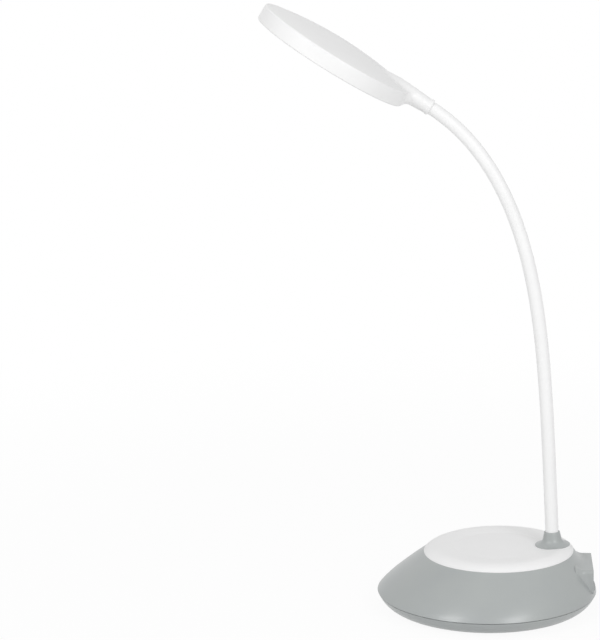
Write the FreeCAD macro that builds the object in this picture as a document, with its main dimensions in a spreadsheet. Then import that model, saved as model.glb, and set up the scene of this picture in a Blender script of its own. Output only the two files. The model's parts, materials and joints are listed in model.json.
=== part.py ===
"""Rechargeable gooseneck LED table lamp, built as separate pieces in millimetres.

The origin is the middle of the face that the lamp stands on. +Z is up, the head reaches out towards -Y
(the front), and the neck and the sockets are at the back, +Y.
"""

import FreeCAD, Part
import math
import os
import re

import Sketcher
from FreeCAD import Placement, Rotation, Vector

# The core of the neck is cut into this many short links, with a joint at each end of each link.
LINK_COUNT = 17
# Circles that the eccentric dome of the base is lofted through.
DOME_SECTIONS = 6
# Screws that close the base, on one circle.
COVER_SCREWS = 4
# Places for light-emitting chips on the inner and the outer ring of the head's board.
INNER_CHIPS = 10
OUTER_CHIPS = 18
# Screws that hold the head's board.
BOARD_POSTS = 3
# Screws that hold the top plate from below.
PLATE_SCREWS = 3
# Distance of a quarter circle's middle from the corner that it rounds, as a share of its radius.
CORNER_SHARE = 1 - math.sqrt(0.5)

# Driving dimensions, millimetres and degrees.
SIZES = {
    # Base, seen as a low dome on a bowl-shaped cover
    "base_radius": 75.0,
    "seam_height": 11.0,
    "seam_groove": 0.5,
    "seam_step": 0.4,
    "foot_inset": 15.0,
    "foot_height": 0.8,
    "bowl_bulge": 1.9,
    "shell_wall": 2.2,
    "dome_power": 1.25,
    "lip_height": 2.0,
    "lip_wall": 1.6,
    "lip_clearance": 1.5,
    "fit_gap": 0.2,
    "floor_top": 4.0,
    # White plate that forms the top of the base
    "plate_radius": 51.1,
    "plate_setback": 8.2,
    "plate_height": 39.0,
    "plate_tilt": 0.8,
    "plate_edge": 0.5,
    "edge_round_inset": 3.2,
    "edge_round_height": 2.75,
    "crest_inset": 10.5,
    "crest_height": 4.0,
    "dish_turn_inset": 15.5,
    "dish_turn_height": 3.7,
    "dish_inset": 20.5,
    "dish_edge_height": 3.1,
    "dish_height": 2.7,
    "spigot_depth": 1.5,
    "spigot_inset": 3.0,
    "deck_thickness": 2.2,
    # Collar at the root of the neck
    "collar_inset": 14.2,
    "collar_lean": 2.5,
    "collar_radius": 11.8,
    "collar_seat": 3.6,
    "collar_rim": 1.3,
    "collar_height": 9.6,
    "collar_waist_radius": 6.9,
    "collar_waist_height": 3.4,
    "collar_curve": 0.36,
    "collar_top_radius": 5.5,
    # Neck: sleeve over a jointed core, with a lead inside
    "neck_length": 312.9,
    "tip_lean": 57.6,
    "bend_power": 3.14,
    "sleeve_radius": 4.5,
    "sleeve_wall": 1.0,
    "link_radius": 3.0,
    "link_gap": 1.4,
    "core_bore": 1.5,
    "lead_radius": 0.9,
    "ferrule_radius": 3.3,
    "ferrule_reach": 3.8,
    "ferrule_flange_radius": 6.4,
    "thread_radius": 4.0,
    "thread_length": 11.5,
    "washer_radius": 8.0,
    "washer_thickness": 1.0,
    "nut_flats": 12.0,
    "nut_thickness": 4.0,
    # Head
    "head_radius": 55.5,
    "band_above": 1.4,
    "band_below": 9.6,
    "head_dome": 5.5,
    "head_edge": 1.4,
    "head_wall": 1.8,
    "nozzle_length": 17.6,
    "nozzle_root_radius": 6.2,
    "nozzle_end_radius": 5.2,
    "nozzle_ring_width": 1.6,
    "nozzle_ring_rise": 0.35,
    "fairing_length": 10.0,
    "boss_length": 19.2,
    "socket_depth": 8.0,
    "head_thread_radius": 2.5,
    "head_thread_length": 7.0,
    "head_nut_flats": 6.8,
    "head_nut_thickness": 3.0,
    "boss_end_wall": 2.0,
    "diffuser_thickness": 2.0,
    "diffuser_recess": 0.5,
    "diffuser_ledge": 2.0,
    "led_board_inset": 9.5,
    "led_board_thickness": 1.2,
    "led_board_height": 0.2,
    "led_notch_width": 16.0,
    "led_notch_inset": 25.5,
    "post_inset": 28.5,
    "post_radius": 2.6,
    "chip_size": 3.0,
    "chip_thickness": 0.8,
    "inner_chip_inset": 36.5,
    "outer_chip_inset": 17.5,
    # Port block at the back of the base
    "block_width": 43.0,
    "block_floor": 14.8,
    "block_roof": 31.2,
    "block_setback": 2.8,
    "block_corner": 2.0,
    "panel_width": 39.4,
    "panel_height": 13.2,
    "panel_corner": 1.2,
    "panel_thickness": 2.0,
    "panel_recess": 0.5,
    "panel_ledge": 0.8,
    "usb_place": 11.9,
    "usb_width": 7.6,
    "usb_height": 2.9,
    "usb_length": 5.6,
    "usb_corner": 1.1,
    "usb_wall": 0.35,
    "usb_mouth": 0.7,
    "cutout_gap": 0.25,
    "pinhole_radius": 0.75,
    "pinhole_place": 1.3,
    "pinhole_height": 4.0,
    "switch_place": 9.8,
    "switch_width": 8.8,
    "switch_height": 5.6,
    "switch_depth": 4.6,
    "slot_width": 6.9,
    "slot_height": 3.4,
    "slider_width": 3.4,
    "slider_height": 2.6,
    "slider_proud": 1.4,
    "slider_travel": 2.5,
    # Inside the base
    "circuit_top": 18.5,
    "circuit_thickness": 1.6,
    "circuit_width": 36.0,
    "circuit_front_inset": 37.0,
    "circuit_back_inset": 7.0,
    "circuit_post_place": 12.0,
    "circuit_post_inset": 25.0,
    "circuit_post_radius": 3.0,
    "pad_inset": 29.0,
    "pad_thickness": 1.6,
    "ballast_inset": 30.0,
    "ballast_thickness": 3.0,
    "cell_radius": 9.2,
    "cell_length": 65.0,
    "cell_button_radius": 3.0,
    "cell_button": 1.2,
    "cell_place": 12.0,
    "cradle_floor": 1.2,
    "cradle_width": 23.0,
    "cradle_height": 8.0,
    "cradle_length": 58.0,
    "cover_screw_inset": 20.0,
    "boss_radius": 3.6,
    "boss_foot": 14.0,
    "screw_radius": 1.25,
    "screw_head_radius": 2.6,
    "screw_head_height": 1.6,
    "cover_screw_length": 14.0,
    "plate_screw_inset": 17.1,
    "plate_screw_length": 4.8,
    "circuit_screw_length": 6.0,
    "led_screw_length": 4.0,
}

# Places that keep their distance from the rim of the base, the plate or the head.
LINKED = {
    "foot_radius": "=base_radius - foot_inset",
    "pad_radius": "=base_radius - pad_inset",
    "ballast_radius": "=base_radius - ballast_inset",
    "cover_screw_ring": "=base_radius - cover_screw_inset",
    "block_face": "=base_radius - block_setback",
    "circuit_front": "=base_radius - circuit_front_inset",
    "circuit_back": "=base_radius - circuit_back_inset",
    "circuit_post_back": "=base_radius - circuit_post_inset",
    "collar_offset": "=plate_radius - collar_inset",
    "plate_screw_ring": "=plate_radius - plate_screw_inset",
    "led_board_radius": "=head_radius - led_board_inset",
    "led_notch_edge": "=head_radius - led_notch_inset",
    "post_ring": "=head_radius - post_inset",
    "inner_chip_ring": "=head_radius - inner_chip_inset",
    "outer_chip_ring": "=head_radius - outer_chip_inset",
}
CELLS = {**SIZES, **LINKED}

doc = FreeCAD.newDocument("TableLamp")
sheet = doc.addObject("Spreadsheet::Sheet", "dims")
for row, (alias, value) in enumerate(CELLS.items(), start=1):
    sheet.set(f"A{row}", alias)
    sheet.set(f"B{row}", str(value))
    sheet.setAlias(f"B{row}", alias)
doc.recompute()

pieces = []


def size(alias):
    """Value of one named cell."""
    return float(sheet.get(alias))


def bound(expression):
    """Expression with each alias written as a reference to its cell."""
    return re.sub(r"[a-z]\w*", lambda word: f"dims.{word[0]}" if word[0] in CELLS else word[0], expression)


def number(expression):
    """Present value of an expression written with aliases."""
    result = sheet.evalExpression(bound(expression))
    return float(getattr(result, "Value", result))


def name_piece(obj, label):
    """Give a finished sub-part its label and add it to the list that is written out."""
    obj.Label = label
    pieces.append(obj)
    return obj


def set_sizes(obj, **expressions):
    """Bind properties of an object to expressions on the sheet."""
    for prop, expression in expressions.items():
        obj.setExpression(prop, bound(expression))
    return obj


def cylinder(radius, height, place=Placement()):
    """Cylinder along its own Z, with radius and height as expressions."""
    obj = doc.addObject("Part::Cylinder", "Cylinder")
    set_sizes(obj, Radius=radius, Height=height)
    obj.Placement = place
    return obj


def box(length, width, height, place=Placement()):
    """Box from its corner along X, Y and Z, with its edges as expressions."""
    obj = doc.addObject("Part::Box", "Box")
    set_sizes(obj, Length=length, Width=width, Height=height)
    obj.Placement = place
    return obj


def fuse(*shapes):
    """One solid from several overlapping or touching ones."""
    obj = doc.addObject("Part::MultiFuse", "Fuse")
    obj.Shapes = list(shapes)
    obj.Refine = True
    return obj


def cut(base, tool):
    """The base less the tool."""
    obj = doc.addObject("Part::Cut", "Cut")
    obj.Base = base
    obj.Tool = tool
    return obj


def group(shapes):
    """Separate solids of one kind in one node."""
    obj = doc.addObject("Part::Compound", "Group")
    obj.Links = list(shapes)
    return obj


def shift(x, y, z):
    """Placement without a turn."""
    return Placement(Vector(x, y, z), Rotation())


def new_body(name):
    """Empty body for sketched features."""
    return doc.addObject("PartDesign::Body", name)


def sketch_on(body, role, place=Placement()):
    """Sketch on one of the body's own origin planes."""
    sketch = body.newObject("Sketcher::SketchObject", "Sketch")
    plane = next(item for item in body.Origin.OriginFeatures if item.Role == role)
    sketch.AttachmentSupport = [(plane, "")]
    sketch.MapMode = "FlatFace"
    sketch.AttachmentOffset = place
    return sketch


def hold(sketch, line, end, kind, axis, expression):
    """Fix one coordinate of an end of a line, on an axis where it is zero."""
    if expression == "0":
        sketch.addConstraint(Sketcher.Constraint("PointOnObject", line, end, axis))
        return
    index = sketch.addConstraint(Sketcher.Constraint(kind, line, end, number(expression)))
    sketch.setExpression(f"Constraints[{index}]", bound(expression))


def outline(sketch, points):
    """Closed outline through points given as expressions.

    A point is (x, y), or (x, y, middle x, middle y) where an arc runs from it to the next point.
    """
    corners = [Vector(number(point[0]), number(point[1]), 0) for point in points]
    first = sketch.GeometryCount
    ends = []
    for index, point in enumerate(points):
        start = corners[index]
        end = corners[(index + 1) % len(points)]
        if len(point) == 4:
            middle = Vector(number(point[2]), number(point[3]), 0)
            leftward = (middle - start).cross(end - middle).z > 0
            span = (start, middle, end) if leftward else (end, middle, start)
            sketch.addGeometry(Part.Arc(*span), False)
            ends.append((1, 2) if leftward else (2, 1))
        else:
            sketch.addGeometry(Part.LineSegment(start, end), False)
            ends.append((1, 2))
    for index in range(len(points)):
        after = (index + 1) % len(points)
        pair = (first + index, ends[index][1], first + after, ends[after][0])
        sketch.addConstraint(Sketcher.Constraint("Coincident", *pair))
    for index, point in enumerate(points):
        hold(sketch, first + index, ends[index][0], "DistanceX", -2, point[0])
        hold(sketch, first + index, ends[index][0], "DistanceY", -1, point[1])


def rounded(center_x, center_y, width, height, corner):
    """Points of an upright rectangle with round corners, as expressions."""
    points = []
    corner = f"( {corner} )"
    inset = f"{corner} * {CORNER_SHARE:.6f}"
    for sign_x, sign_y, along_first in ((1, -1, False), (1, 1, True), (-1, 1, False), (-1, -1, True)):
        edge_x = f"( {center_x} ) + {sign_x} * ( {width} ) / 2"
        edge_y = f"( {center_y} ) + {sign_y} * ( {height} ) / 2"
        flat_x = f"{edge_x} - {sign_x} * {corner}"
        flat_y = f"{edge_y} - {sign_y} * {corner}"
        middle = (f"{edge_x} - {sign_x} * {inset}", f"{edge_y} - {sign_y} * {inset}")
        on_side = (edge_x, flat_y)
        on_end = (flat_x, edge_y)
        start, end = (on_side, on_end) if along_first else (on_end, on_side)
        points.append(start + middle)
        points.append(end)
    return points


def revolve(body, sketch):
    """Full turn of a sketch about its own vertical axis."""
    feature = body.newObject("PartDesign::Revolution", "Revolution")
    feature.Profile = sketch
    feature.ReferenceAxis = (sketch, ["V_Axis"])
    feature.Angle = 360.0
    sketch.Visibility = False
    return feature


def turned(name, points, role="XZ_Plane"):
    """Body turned from an outline of (radius, height) expressions about the plane's vertical axis."""
    body = new_body(name)
    sketch = sketch_on(body, role)
    outline(sketch, points)
    revolve(body, sketch)
    return body


def padded(body, sketch, length, reverse=False):
    """Pad of a sketch in its body."""
    feature = body.newObject("PartDesign::Pad", "Pad")
    feature.Profile = sketch
    set_sizes(feature, Length=length)
    feature.Reversed = reverse
    return feature


def pocketed(body, sketch, length, reverse=False):
    """Pocket of a sketch in its body."""
    feature = body.newObject("PartDesign::Pocket", "Pocket")
    feature.Profile = sketch
    set_sizes(feature, Length=length)
    feature.Reversed = reverse
    return feature


def circle_in(sketch, x, y, radius):
    """Circle held by its centre and radius, given as expressions."""
    center = Vector(number(x), number(y), 0)
    geo = sketch.addGeometry(Part.Circle(center, Vector(0, 0, 1), number(radius)), False)
    for kind, axis, expression in (("DistanceX", -2, x), ("DistanceY", -1, y)):
        if expression == "0":
            sketch.addConstraint(Sketcher.Constraint("PointOnObject", geo, 3, axis))
        else:
            index = sketch.addConstraint(Sketcher.Constraint(kind, geo, 3, number(expression)))
            sketch.setExpression(f"Constraints[{index}]", bound(expression))
    index = sketch.addConstraint(Sketcher.Constraint("Radius", geo, number(radius)))
    sketch.setExpression(f"Constraints[{index}]", bound(radius))


def screw(length, place):
    """Pan-head screw whose head's seat is at its origin and whose shank runs along +Z."""
    head = cylinder("screw_head_radius", "screw_head_height", shift(0, 0, -size("screw_head_height")))
    shank = cylinder("screw_radius", length)
    whole = fuse(head, shank)
    whole.Placement = place
    return whole


def ring_places(count, radius, start_deg, step_deg):
    """Points on a circle about the Z axis."""
    turns = [math.radians(start_deg + step_deg * index) for index in range(count)]
    return [(radius * math.cos(turn), radius * math.sin(turn)) for turn in turns]


# Shared places
# Top plate: a frame on the deck, leaning towards the front
plate_frame = Placement(
    Vector(0, size("plate_setback"), size("plate_height")),
    Rotation(Vector(1, 0, 0), size("plate_tilt")),
)
# Collar: on its own seat on the plate, which leans a little more than the plate does
collar_seat_place = Placement(
    Vector(0, size("collar_offset"), size("collar_seat")),
    Rotation(Vector(1, 0, 0), size("collar_lean") - size("plate_tilt")),
)
collar_frame = plate_frame * collar_seat_place
deck_top = -size("spigot_depth")
deck_under = deck_top - size("deck_thickness")


# Neck line: one run of tangent arcs in the plane x = 0, from the collar's top to the nozzle's end
def lean(distance):
    """Angle from the vertical, in radians, at a distance along the neck."""
    root = size("collar_lean")
    share = distance / size("neck_length")
    return math.radians(root + (size("tip_lean") - root) * share ** size("bend_power"))


def heading(angle):
    """Direction of the neck where it leans by an angle."""
    return Vector(0, -math.sin(angle), math.cos(angle))


def arc_step(start, distance_a, distance_b):
    """End of a tangent arc along the neck between two distances, and its middle."""
    turn_a = lean(distance_a)
    turn_b = lean(distance_b)
    span = distance_b - distance_a
    half = (turn_b - turn_a) / 2
    chord = span * math.sin(half) / half
    half_chord = span / 2 * math.sin(half / 2) / (half / 2)
    end = start + heading((turn_a + turn_b) / 2) * chord
    middle = start + heading(turn_a + half / 2) * half_chord
    return middle, end


first_joint = size("ferrule_reach") + size("link_gap") / 2
joint_pitch = (size("neck_length") - 2 * first_joint) / LINK_COUNT
joint_stations = [first_joint + joint_pitch * index for index in range(LINK_COUNT + 1)]
stations = [0.0] + joint_stations + [size("neck_length")]
collar_top = collar_frame.multVec(Vector(0, 0, size("collar_height")))
neck_points = [collar_top]
neck_middles = []
for before, after in zip(stations, stations[1:]):
    arc_middle, arc_end = arc_step(neck_points[-1], before, after)
    neck_middles.append(arc_middle)
    neck_points.append(arc_end)
neck_joints = neck_points[1:-1]
root_heading = heading(lean(0.0))
tip_heading = heading(lean(size("neck_length")))

# Head: a frame on the nozzle's axis, with +Y back along the nozzle and +Z out of the domed back
head_centre = neck_points[-1] + tip_heading * (size("nozzle_length") + size("head_radius"))
head_frame = Placement(head_centre, Rotation(Vector(1, 0, 0), size("tip_lean") - 90.0))


def neck_wire(below, above):
    """Neck line with straight run-outs below the collar's top and past the nozzle's end."""
    edges = [Part.LineSegment(neck_points[0] - root_heading * below, neck_points[0]).toShape()]
    for index, middle in enumerate(neck_middles):
        edges.append(Part.Arc(neck_points[index], middle, neck_points[index + 1]).toShape())
    edges.append(Part.LineSegment(neck_points[-1], neck_points[-1] + tip_heading * above).toShape())
    return Part.Wire(edges)


def swept_rod(radius, below, above):
    """Round rod along the neck line."""
    path = neck_wire(below, above)
    start = neck_points[0] - root_heading * below
    section = Part.Wire([Part.Circle(start, root_heading, radius).toShape()])
    rod = path.makePipeShell([section], True, False)
    expected = math.pi * radius**2 * path.Length
    if abs(rod.Volume / expected - 1) > 0.002:
        raise RuntimeError(f"rod of radius {radius}: volume {rod.Volume:.1f}, expected {expected:.1f}")
    return rod


def shape_feature(name, shape):
    """Object of the document that holds a swept shape."""
    obj = doc.addObject("Part::Feature", name)
    obj.Shape = shape
    return obj


# Base: upper shell
def dome_loft(inset, low, high):
    """Eccentric dome, its radius less an inset, between two heights measured from the seam."""
    base_z = size("seam_height") + size("seam_groove")
    rise = size("plate_height") - base_z
    circles = []
    for index in range(DOME_SECTIONS):
        height = low + (high - low) * index / (DOME_SECTIONS - 1)
        share = max(height / rise, 0.0)
        ring = doc.addObject("Part::Circle", "DomeSection")
        shape = f"base_radius - ( base_radius - plate_radius ) * {share:.6f} ^ dome_power - ( {inset} )"
        set_sizes(ring, Radius=shape)
        ring.Placement = Placement(
            Vector(0, size("plate_setback") * share, base_z + height),
            Rotation(Vector(1, 0, 0), size("plate_tilt") * share),
        )
        circles.append(ring)
    loft = doc.addObject("Part::Loft", "Dome")
    loft.Sections = circles
    loft.Solid = True
    loft.Ruled = False
    return loft


def block_body(name, points, face, depth):
    """Prism cut from an outline in X and Z, running forward from a face at the back."""
    body = new_body(name)
    sketch = sketch_on(body, "XZ_Plane", shift(0, 0, -face))
    outline(sketch, points)
    padded(body, sketch, depth)
    return body


block_middle = "( block_floor + block_roof ) / 2"
block_height = "( block_roof - block_floor )"
dome_rise = size("plate_height") - size("seam_height") - size("seam_groove")
screw_places = ring_places(COVER_SCREWS, size("cover_screw_ring"), 45.0, 360.0 / COVER_SCREWS)

outer_dome = dome_loft("0", 0.0, dome_rise)
inner_dome = dome_loft("shell_wall", 0.0, dome_rise)
port_block = block_body(
    "PortBlock",
    rounded("0", block_middle, "block_width", block_height, "block_corner"),
    size("block_face"),
    "block_face - plate_setback",
)
port_notch = block_body(
    "PortNotch",
    rounded("0", block_middle, "block_width", block_height, "block_corner"),
    size("base_radius") + size("plate_setback"),
    "base_radius + plate_setback - block_face",
)
deck = cylinder(
    "base_radius",
    "deck_thickness + spigot_depth",
    plate_frame * shift(0, 0, deck_under),
)
bosses = [
    cylinder("boss_radius", "plate_height", shift(x, y, size("boss_foot"))) for x, y in screw_places
]
pilots = [
    cylinder(
        "screw_radius",
        "cover_screw_length",
        shift(x, y, size("floor_top")),
    )
    for x, y in screw_places
]
cavity = cut(inner_dome, fuse(deck, *bosses))
plate_recess = cylinder(
    "plate_radius - spigot_inset + fit_gap",
    "spigot_depth + plate_edge",
    plate_frame * shift(0, 0, deck_top),
)
thread_hole = cylinder(
    "thread_radius + fit_gap",
    "deck_thickness * 3",
    collar_frame * shift(0, 0, deck_under - size("collar_seat") - size("deck_thickness")),
)
flange_seat = cylinder(
    "ferrule_flange_radius + fit_gap",
    "spigot_depth + plate_edge",
    collar_frame * shift(0, 0, deck_top - size("collar_seat")),
)
washer_seat = cylinder(
    "washer_radius + fit_gap",
    "deck_thickness",
    collar_frame * shift(0, 0, deck_under - size("collar_seat") - size("deck_thickness")),
)
plate_screw_places = ring_places(PLATE_SCREWS, size("plate_screw_ring"), 210.0, 60.0)
plate_screw_holes = [
    cylinder(
        "screw_radius",
        "deck_thickness * 3",
        plate_frame * shift(x, y, deck_under - size("deck_thickness")),
    )
    for x, y in plate_screw_places
]
panel_face = size("block_face") - size("panel_recess")
panel_seat = panel_face - size("panel_thickness")
panel_opening = block_body(
    "PanelOpening",
    rounded(
        "0",
        block_middle,
        "panel_width + 2 * fit_gap",
        "panel_height + 2 * fit_gap",
        "panel_corner + fit_gap",
    ),
    size("block_face") + size("panel_recess"),
    "panel_thickness + 2 * panel_recess",
)
port_opening = block_body(
    "PortOpening",
    rounded(
        "0",
        block_middle,
        "panel_width - 2 * panel_ledge",
        "panel_height - 2 * panel_ledge",
        "panel_corner",
    ),
    size("block_face") + size("panel_recess"),
    "block_face - plate_setback - shell_wall",
)
notched_dome = cut(outer_dome, port_notch)
shell_blank = cut(fuse(notched_dome, port_block), cavity)
shell_cuts = fuse(
    plate_recess,
    thread_hole,
    flange_seat,
    washer_seat,
    panel_opening,
    port_opening,
    *plate_screw_holes,
    *pilots,
)
name_piece(cut(shell_blank, shell_cuts), "base_upper_shell")

# Base: bowl-shaped bottom cover with its lip, screw pillars and the board's posts
rim_radius = "base_radius - seam_step"
lip_outer = "base_radius - shell_wall - lip_clearance"
bowl_middle_x = "( base_radius - seam_step + foot_radius ) / 2 + bowl_bulge"
bowl_middle_y = "( seam_height + foot_height ) / 2 - bowl_bulge"
bowl = turned(
    "Bowl",
    [
        ("0", "foot_height + pad_thickness / 2"),
        ("pad_radius + fit_gap", "foot_height + pad_thickness / 2"),
        ("pad_radius + fit_gap", "foot_height"),
        ("foot_radius", "foot_height", bowl_middle_x, bowl_middle_y),
        (rim_radius, "seam_height"),
        (lip_outer, "seam_height"),
        (lip_outer, "seam_height + lip_height"),
        (f"{lip_outer} - lip_wall", "seam_height + lip_height"),
        (f"{lip_outer} - lip_wall", "seam_height"),
        ("foot_radius - shell_wall", "floor_top"),
        ("0", "floor_top"),
    ],
)
pillars = [
    cylinder(
        "boss_radius",
        "boss_foot - floor_top + shell_wall / 2",
        shift(x, y, size("floor_top") - size("shell_wall") / 2),
    )
    for x, y in screw_places
]
circuit_screw_places = [(side * size("circuit_post_place"), size("circuit_post_back")) for side in (-1, 1)]
circuit_posts = [
    cylinder(
        "circuit_post_radius",
        "circuit_top - circuit_thickness - floor_top + shell_wall / 2",
        shift(x, y, size("floor_top") - size("shell_wall") / 2),
    )
    for x, y in circuit_screw_places
]
cover_holes = [
    cylinder("screw_radius", "boss_foot * 2", shift(x, y, -size("floor_top"))) for x, y in screw_places
]
cover_counterbores = [
    cylinder(
        "screw_head_radius + fit_gap",
        "screw_head_height + foot_height",
        shift(x, y, 0),
    )
    for x, y in screw_places
]
circuit_pilots = [
    cylinder(
        "screw_radius",
        "circuit_screw_length",
        shift(x, y, size("circuit_top") - size("circuit_screw_length")),
    )
    for x, y in circuit_screw_places
]
name_piece(
    cut(
        fuse(bowl, *pillars, *circuit_posts),
        fuse(*cover_holes, *cover_counterbores, *circuit_pilots),
    ),
    "base_bottom_cover",
)
cover_screw_seat = size("screw_head_height") + size("foot_height")
name_piece(
    group([screw("cover_screw_length", shift(x, y, cover_screw_seat)) for x, y in screw_places]),
    "cover_screws",
)

# Base: anti-slip pad, ballast, cell and its cradle
pad = turned(
    "Pad",
    [
        ("0", "0"),
        ("pad_radius - pad_thickness / 4", "0"),
        ("pad_radius", "pad_thickness / 4"),
        ("pad_radius", "pad_thickness"),
        ("0", "pad_thickness"),
    ],
)
name_piece(pad, "anti_slip_pad")
name_piece(
    cylinder("ballast_radius", "ballast_thickness", shift(0, 0, size("floor_top"))),
    "ballast_plate",
)
cradle_seat = size("floor_top") + size("ballast_thickness")
cell_axis = cradle_seat + size("cradle_floor") + size("cell_radius") + size("fit_gap")
cradle = new_body("Cradle")
cradle_sketch = sketch_on(cradle, "YZ_Plane", shift(0, 0, -size("cradle_length") / 2))
channel = "( cell_radius + fit_gap )"
channel_axis = f"( cradle_floor + {channel} )"
channel_half = f"sqrt({channel} ^ 2 - ( cradle_height - {channel_axis} ) ^ 2 )"
outline(
    cradle_sketch,
    [
        ("0 - cradle_width / 2", "0"),
        ("cradle_width / 2", "0"),
        ("cradle_width / 2", "cradle_height"),
        (channel_half, "cradle_height", "0", "cradle_floor"),
        (f"0 - {channel_half}", "cradle_height"),
        ("0 - cradle_width / 2", "cradle_height"),
    ],
)
padded(cradle, cradle_sketch, "cradle_length")
cradle.Placement = shift(0, -size("cell_place"), cradle_seat)
name_piece(cradle, "battery_cradle")
cell = turned(
    "Cell",
    [
        ("0", "0"),
        ("cell_radius", "0"),
        ("cell_radius", "cell_length"),
        ("cell_button_radius", "cell_length"),
        ("cell_button_radius", "cell_length + cell_button"),
        ("0", "cell_length + cell_button"),
    ],
)
cell.Placement = Placement(
    Vector(-size("cell_length") / 2, -size("cell_place"), cell_axis - size("fit_gap")),
    Rotation(Vector(0, 1, 0), 90),
)
name_piece(cell, "battery_cell")

# Base: white top plate with its shallow dish and the collar's seat
plate = turned(
    "Plate",
    [
        ("0", "0 - spigot_depth"),
        ("plate_radius - spigot_inset", "0 - spigot_depth"),
        ("plate_radius - spigot_inset", "0"),
        ("plate_radius", "0"),
        ("plate_radius", "plate_edge", "plate_radius - edge_round_inset", "edge_round_height"),
        (
            "plate_radius - crest_inset",
            "crest_height",
            "plate_radius - dish_turn_inset",
            "dish_turn_height",
        ),
        ("plate_radius - dish_inset", "dish_edge_height"),
        ("0", "dish_height"),
    ],
)
doc.recompute()
pad_sketch = sketch_on(plate, "XY_Plane", collar_seat_place)
circle_in(pad_sketch, "0", "0", "collar_radius + fit_gap")
padded(plate, pad_sketch, "collar_seat - plate_edge", True)
doc.recompute()
seat_sketch = sketch_on(plate, "XY_Plane", collar_seat_place)
circle_in(seat_sketch, "0", "0", "collar_radius + fit_gap")
pocketed(plate, seat_sketch, "crest_height", True)
hole_sketch = sketch_on(plate, "XY_Plane", shift(0, 0, deck_top))
circle_in(hole_sketch, "0", "collar_offset", "ferrule_flange_radius + fit_gap")
pocketed(plate, hole_sketch, "spigot_depth + crest_height", True)
for hole_x, hole_y in plate_screw_places:
    pilot_sketch = sketch_on(plate, "XY_Plane", shift(0, 0, deck_top))
    circle_in(pilot_sketch, f"{hole_x:.4f}", f"{hole_y:.4f}", "screw_radius")
    pocketed(plate, pilot_sketch, "plate_screw_length - deck_thickness", True)
plate.Placement = plate_frame
name_piece(plate, "top_plate")
plate_screw_set = [
    screw("plate_screw_length", plate_frame * shift(x, y, deck_under)) for x, y in plate_screw_places
]
name_piece(group(plate_screw_set), "plate_screws")

# Root of the neck: collar, ferrule, washer and nut
collar = turned(
    "Collar",
    [
        ("sleeve_radius + fit_gap / 2", "0"),
        ("collar_radius", "0"),
        (
            "collar_radius",
            "collar_rim",
            "collar_waist_radius + ( collar_radius - collar_waist_radius ) * collar_curve",
            "collar_rim + ( collar_waist_height - collar_rim ) * collar_curve",
        ),
        ("collar_waist_radius", "collar_waist_height"),
        ("collar_top_radius + fit_gap", "collar_height - fit_gap * 2"),
        ("collar_top_radius - fit_gap", "collar_height"),
        ("sleeve_radius + fit_gap / 2", "collar_height"),
    ],
)
collar.Placement = collar_frame
name_piece(collar, "neck_collar")
ferrule_lower = turned(
    "FerruleLower",
    [
        ("core_bore", "0 - spigot_depth - collar_seat - thread_length"),
        ("thread_radius", "0 - spigot_depth - collar_seat - thread_length"),
        ("thread_radius", "0 - spigot_depth - collar_seat"),
        ("ferrule_flange_radius", "0 - spigot_depth - collar_seat"),
        ("ferrule_flange_radius", "0"),
        ("ferrule_radius", "0"),
        ("ferrule_radius", "collar_height + ferrule_reach"),
        ("core_bore", "collar_height + ferrule_reach"),
    ],
)
ferrule_lower.Placement = collar_frame
name_piece(ferrule_lower, "neck_ferrule_lower")


def hexagon_nut(name, flats, bore, thickness):
    """Hexagon nut standing on its own XY plane."""
    body = new_body(name)
    sketch = sketch_on(body, "XY_Plane")
    across = f"{flats} / sqrt(3)"
    outline(
        sketch,
        [
            (f"{flats} / 2", f"{across} / 2"),
            ("0", across),
            (f"0 - {flats} / 2", f"{across} / 2"),
            (f"0 - {flats} / 2", f"0 - {across} / 2"),
            ("0", f"0 - {across}"),
            (f"{flats} / 2", f"0 - {across} / 2"),
        ],
    )
    circle_in(sketch, "0", "0", bore)
    padded(body, sketch, thickness)
    return body


under_deck = collar_frame * shift(0, 0, deck_under - size("collar_seat"))
washer = turned(
    "Washer",
    [
        ("thread_radius + fit_gap / 2", "0 - washer_thickness"),
        ("washer_radius", "0 - washer_thickness"),
        ("washer_radius", "0"),
        ("thread_radius + fit_gap / 2", "0"),
    ],
)
washer.Placement = under_deck
name_piece(washer, "neck_washer")
lock_nut = hexagon_nut("LockNut", "nut_flats", "thread_radius", "nut_thickness")
lock_nut.Placement = under_deck * shift(0, 0, -size("washer_thickness") - size("nut_thickness"))
name_piece(lock_nut, "neck_lock_nut")

# Neck: jointed core, sleeve and lead
for number_of_link in range(1, LINK_COUNT + 1):
    link_start = neck_joints[number_of_link - 1]
    chord = neck_joints[number_of_link] - link_start
    along = Rotation(Vector(0, 0, 1), chord)
    direction = Vector(chord).normalize()
    link_place = Placement(link_start + direction * (size("link_gap") / 2), along)
    link_length = f"{chord.Length:.6f} - link_gap"
    tube = cylinder("link_radius", link_length, link_place)
    bore = cylinder("core_bore", link_length, link_place)
    name_piece(cut(tube, bore), f"neck_link_{number_of_link:02d}")

sleeve_outer = swept_rod(size("sleeve_radius"), size("collar_height"), size("socket_depth"))
sleeve_inner = swept_rod(
    size("sleeve_radius") - size("sleeve_wall"),
    size("collar_height"),
    size("socket_depth"),
)
name_piece(shape_feature("Sleeve", sleeve_outer.cut(sleeve_inner)), "neck_sleeve")
boss_end = size("head_radius") - size("boss_length")
lead_above = size("nozzle_length") + size("head_radius") - size("led_notch_edge") - size("fit_gap")
lead_foot = collar_top.z - size("circuit_top") - size("fit_gap")
name_piece(shape_feature("Lead", swept_rod(size("lead_radius"), lead_foot, lead_above)), "led_lead")

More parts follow.
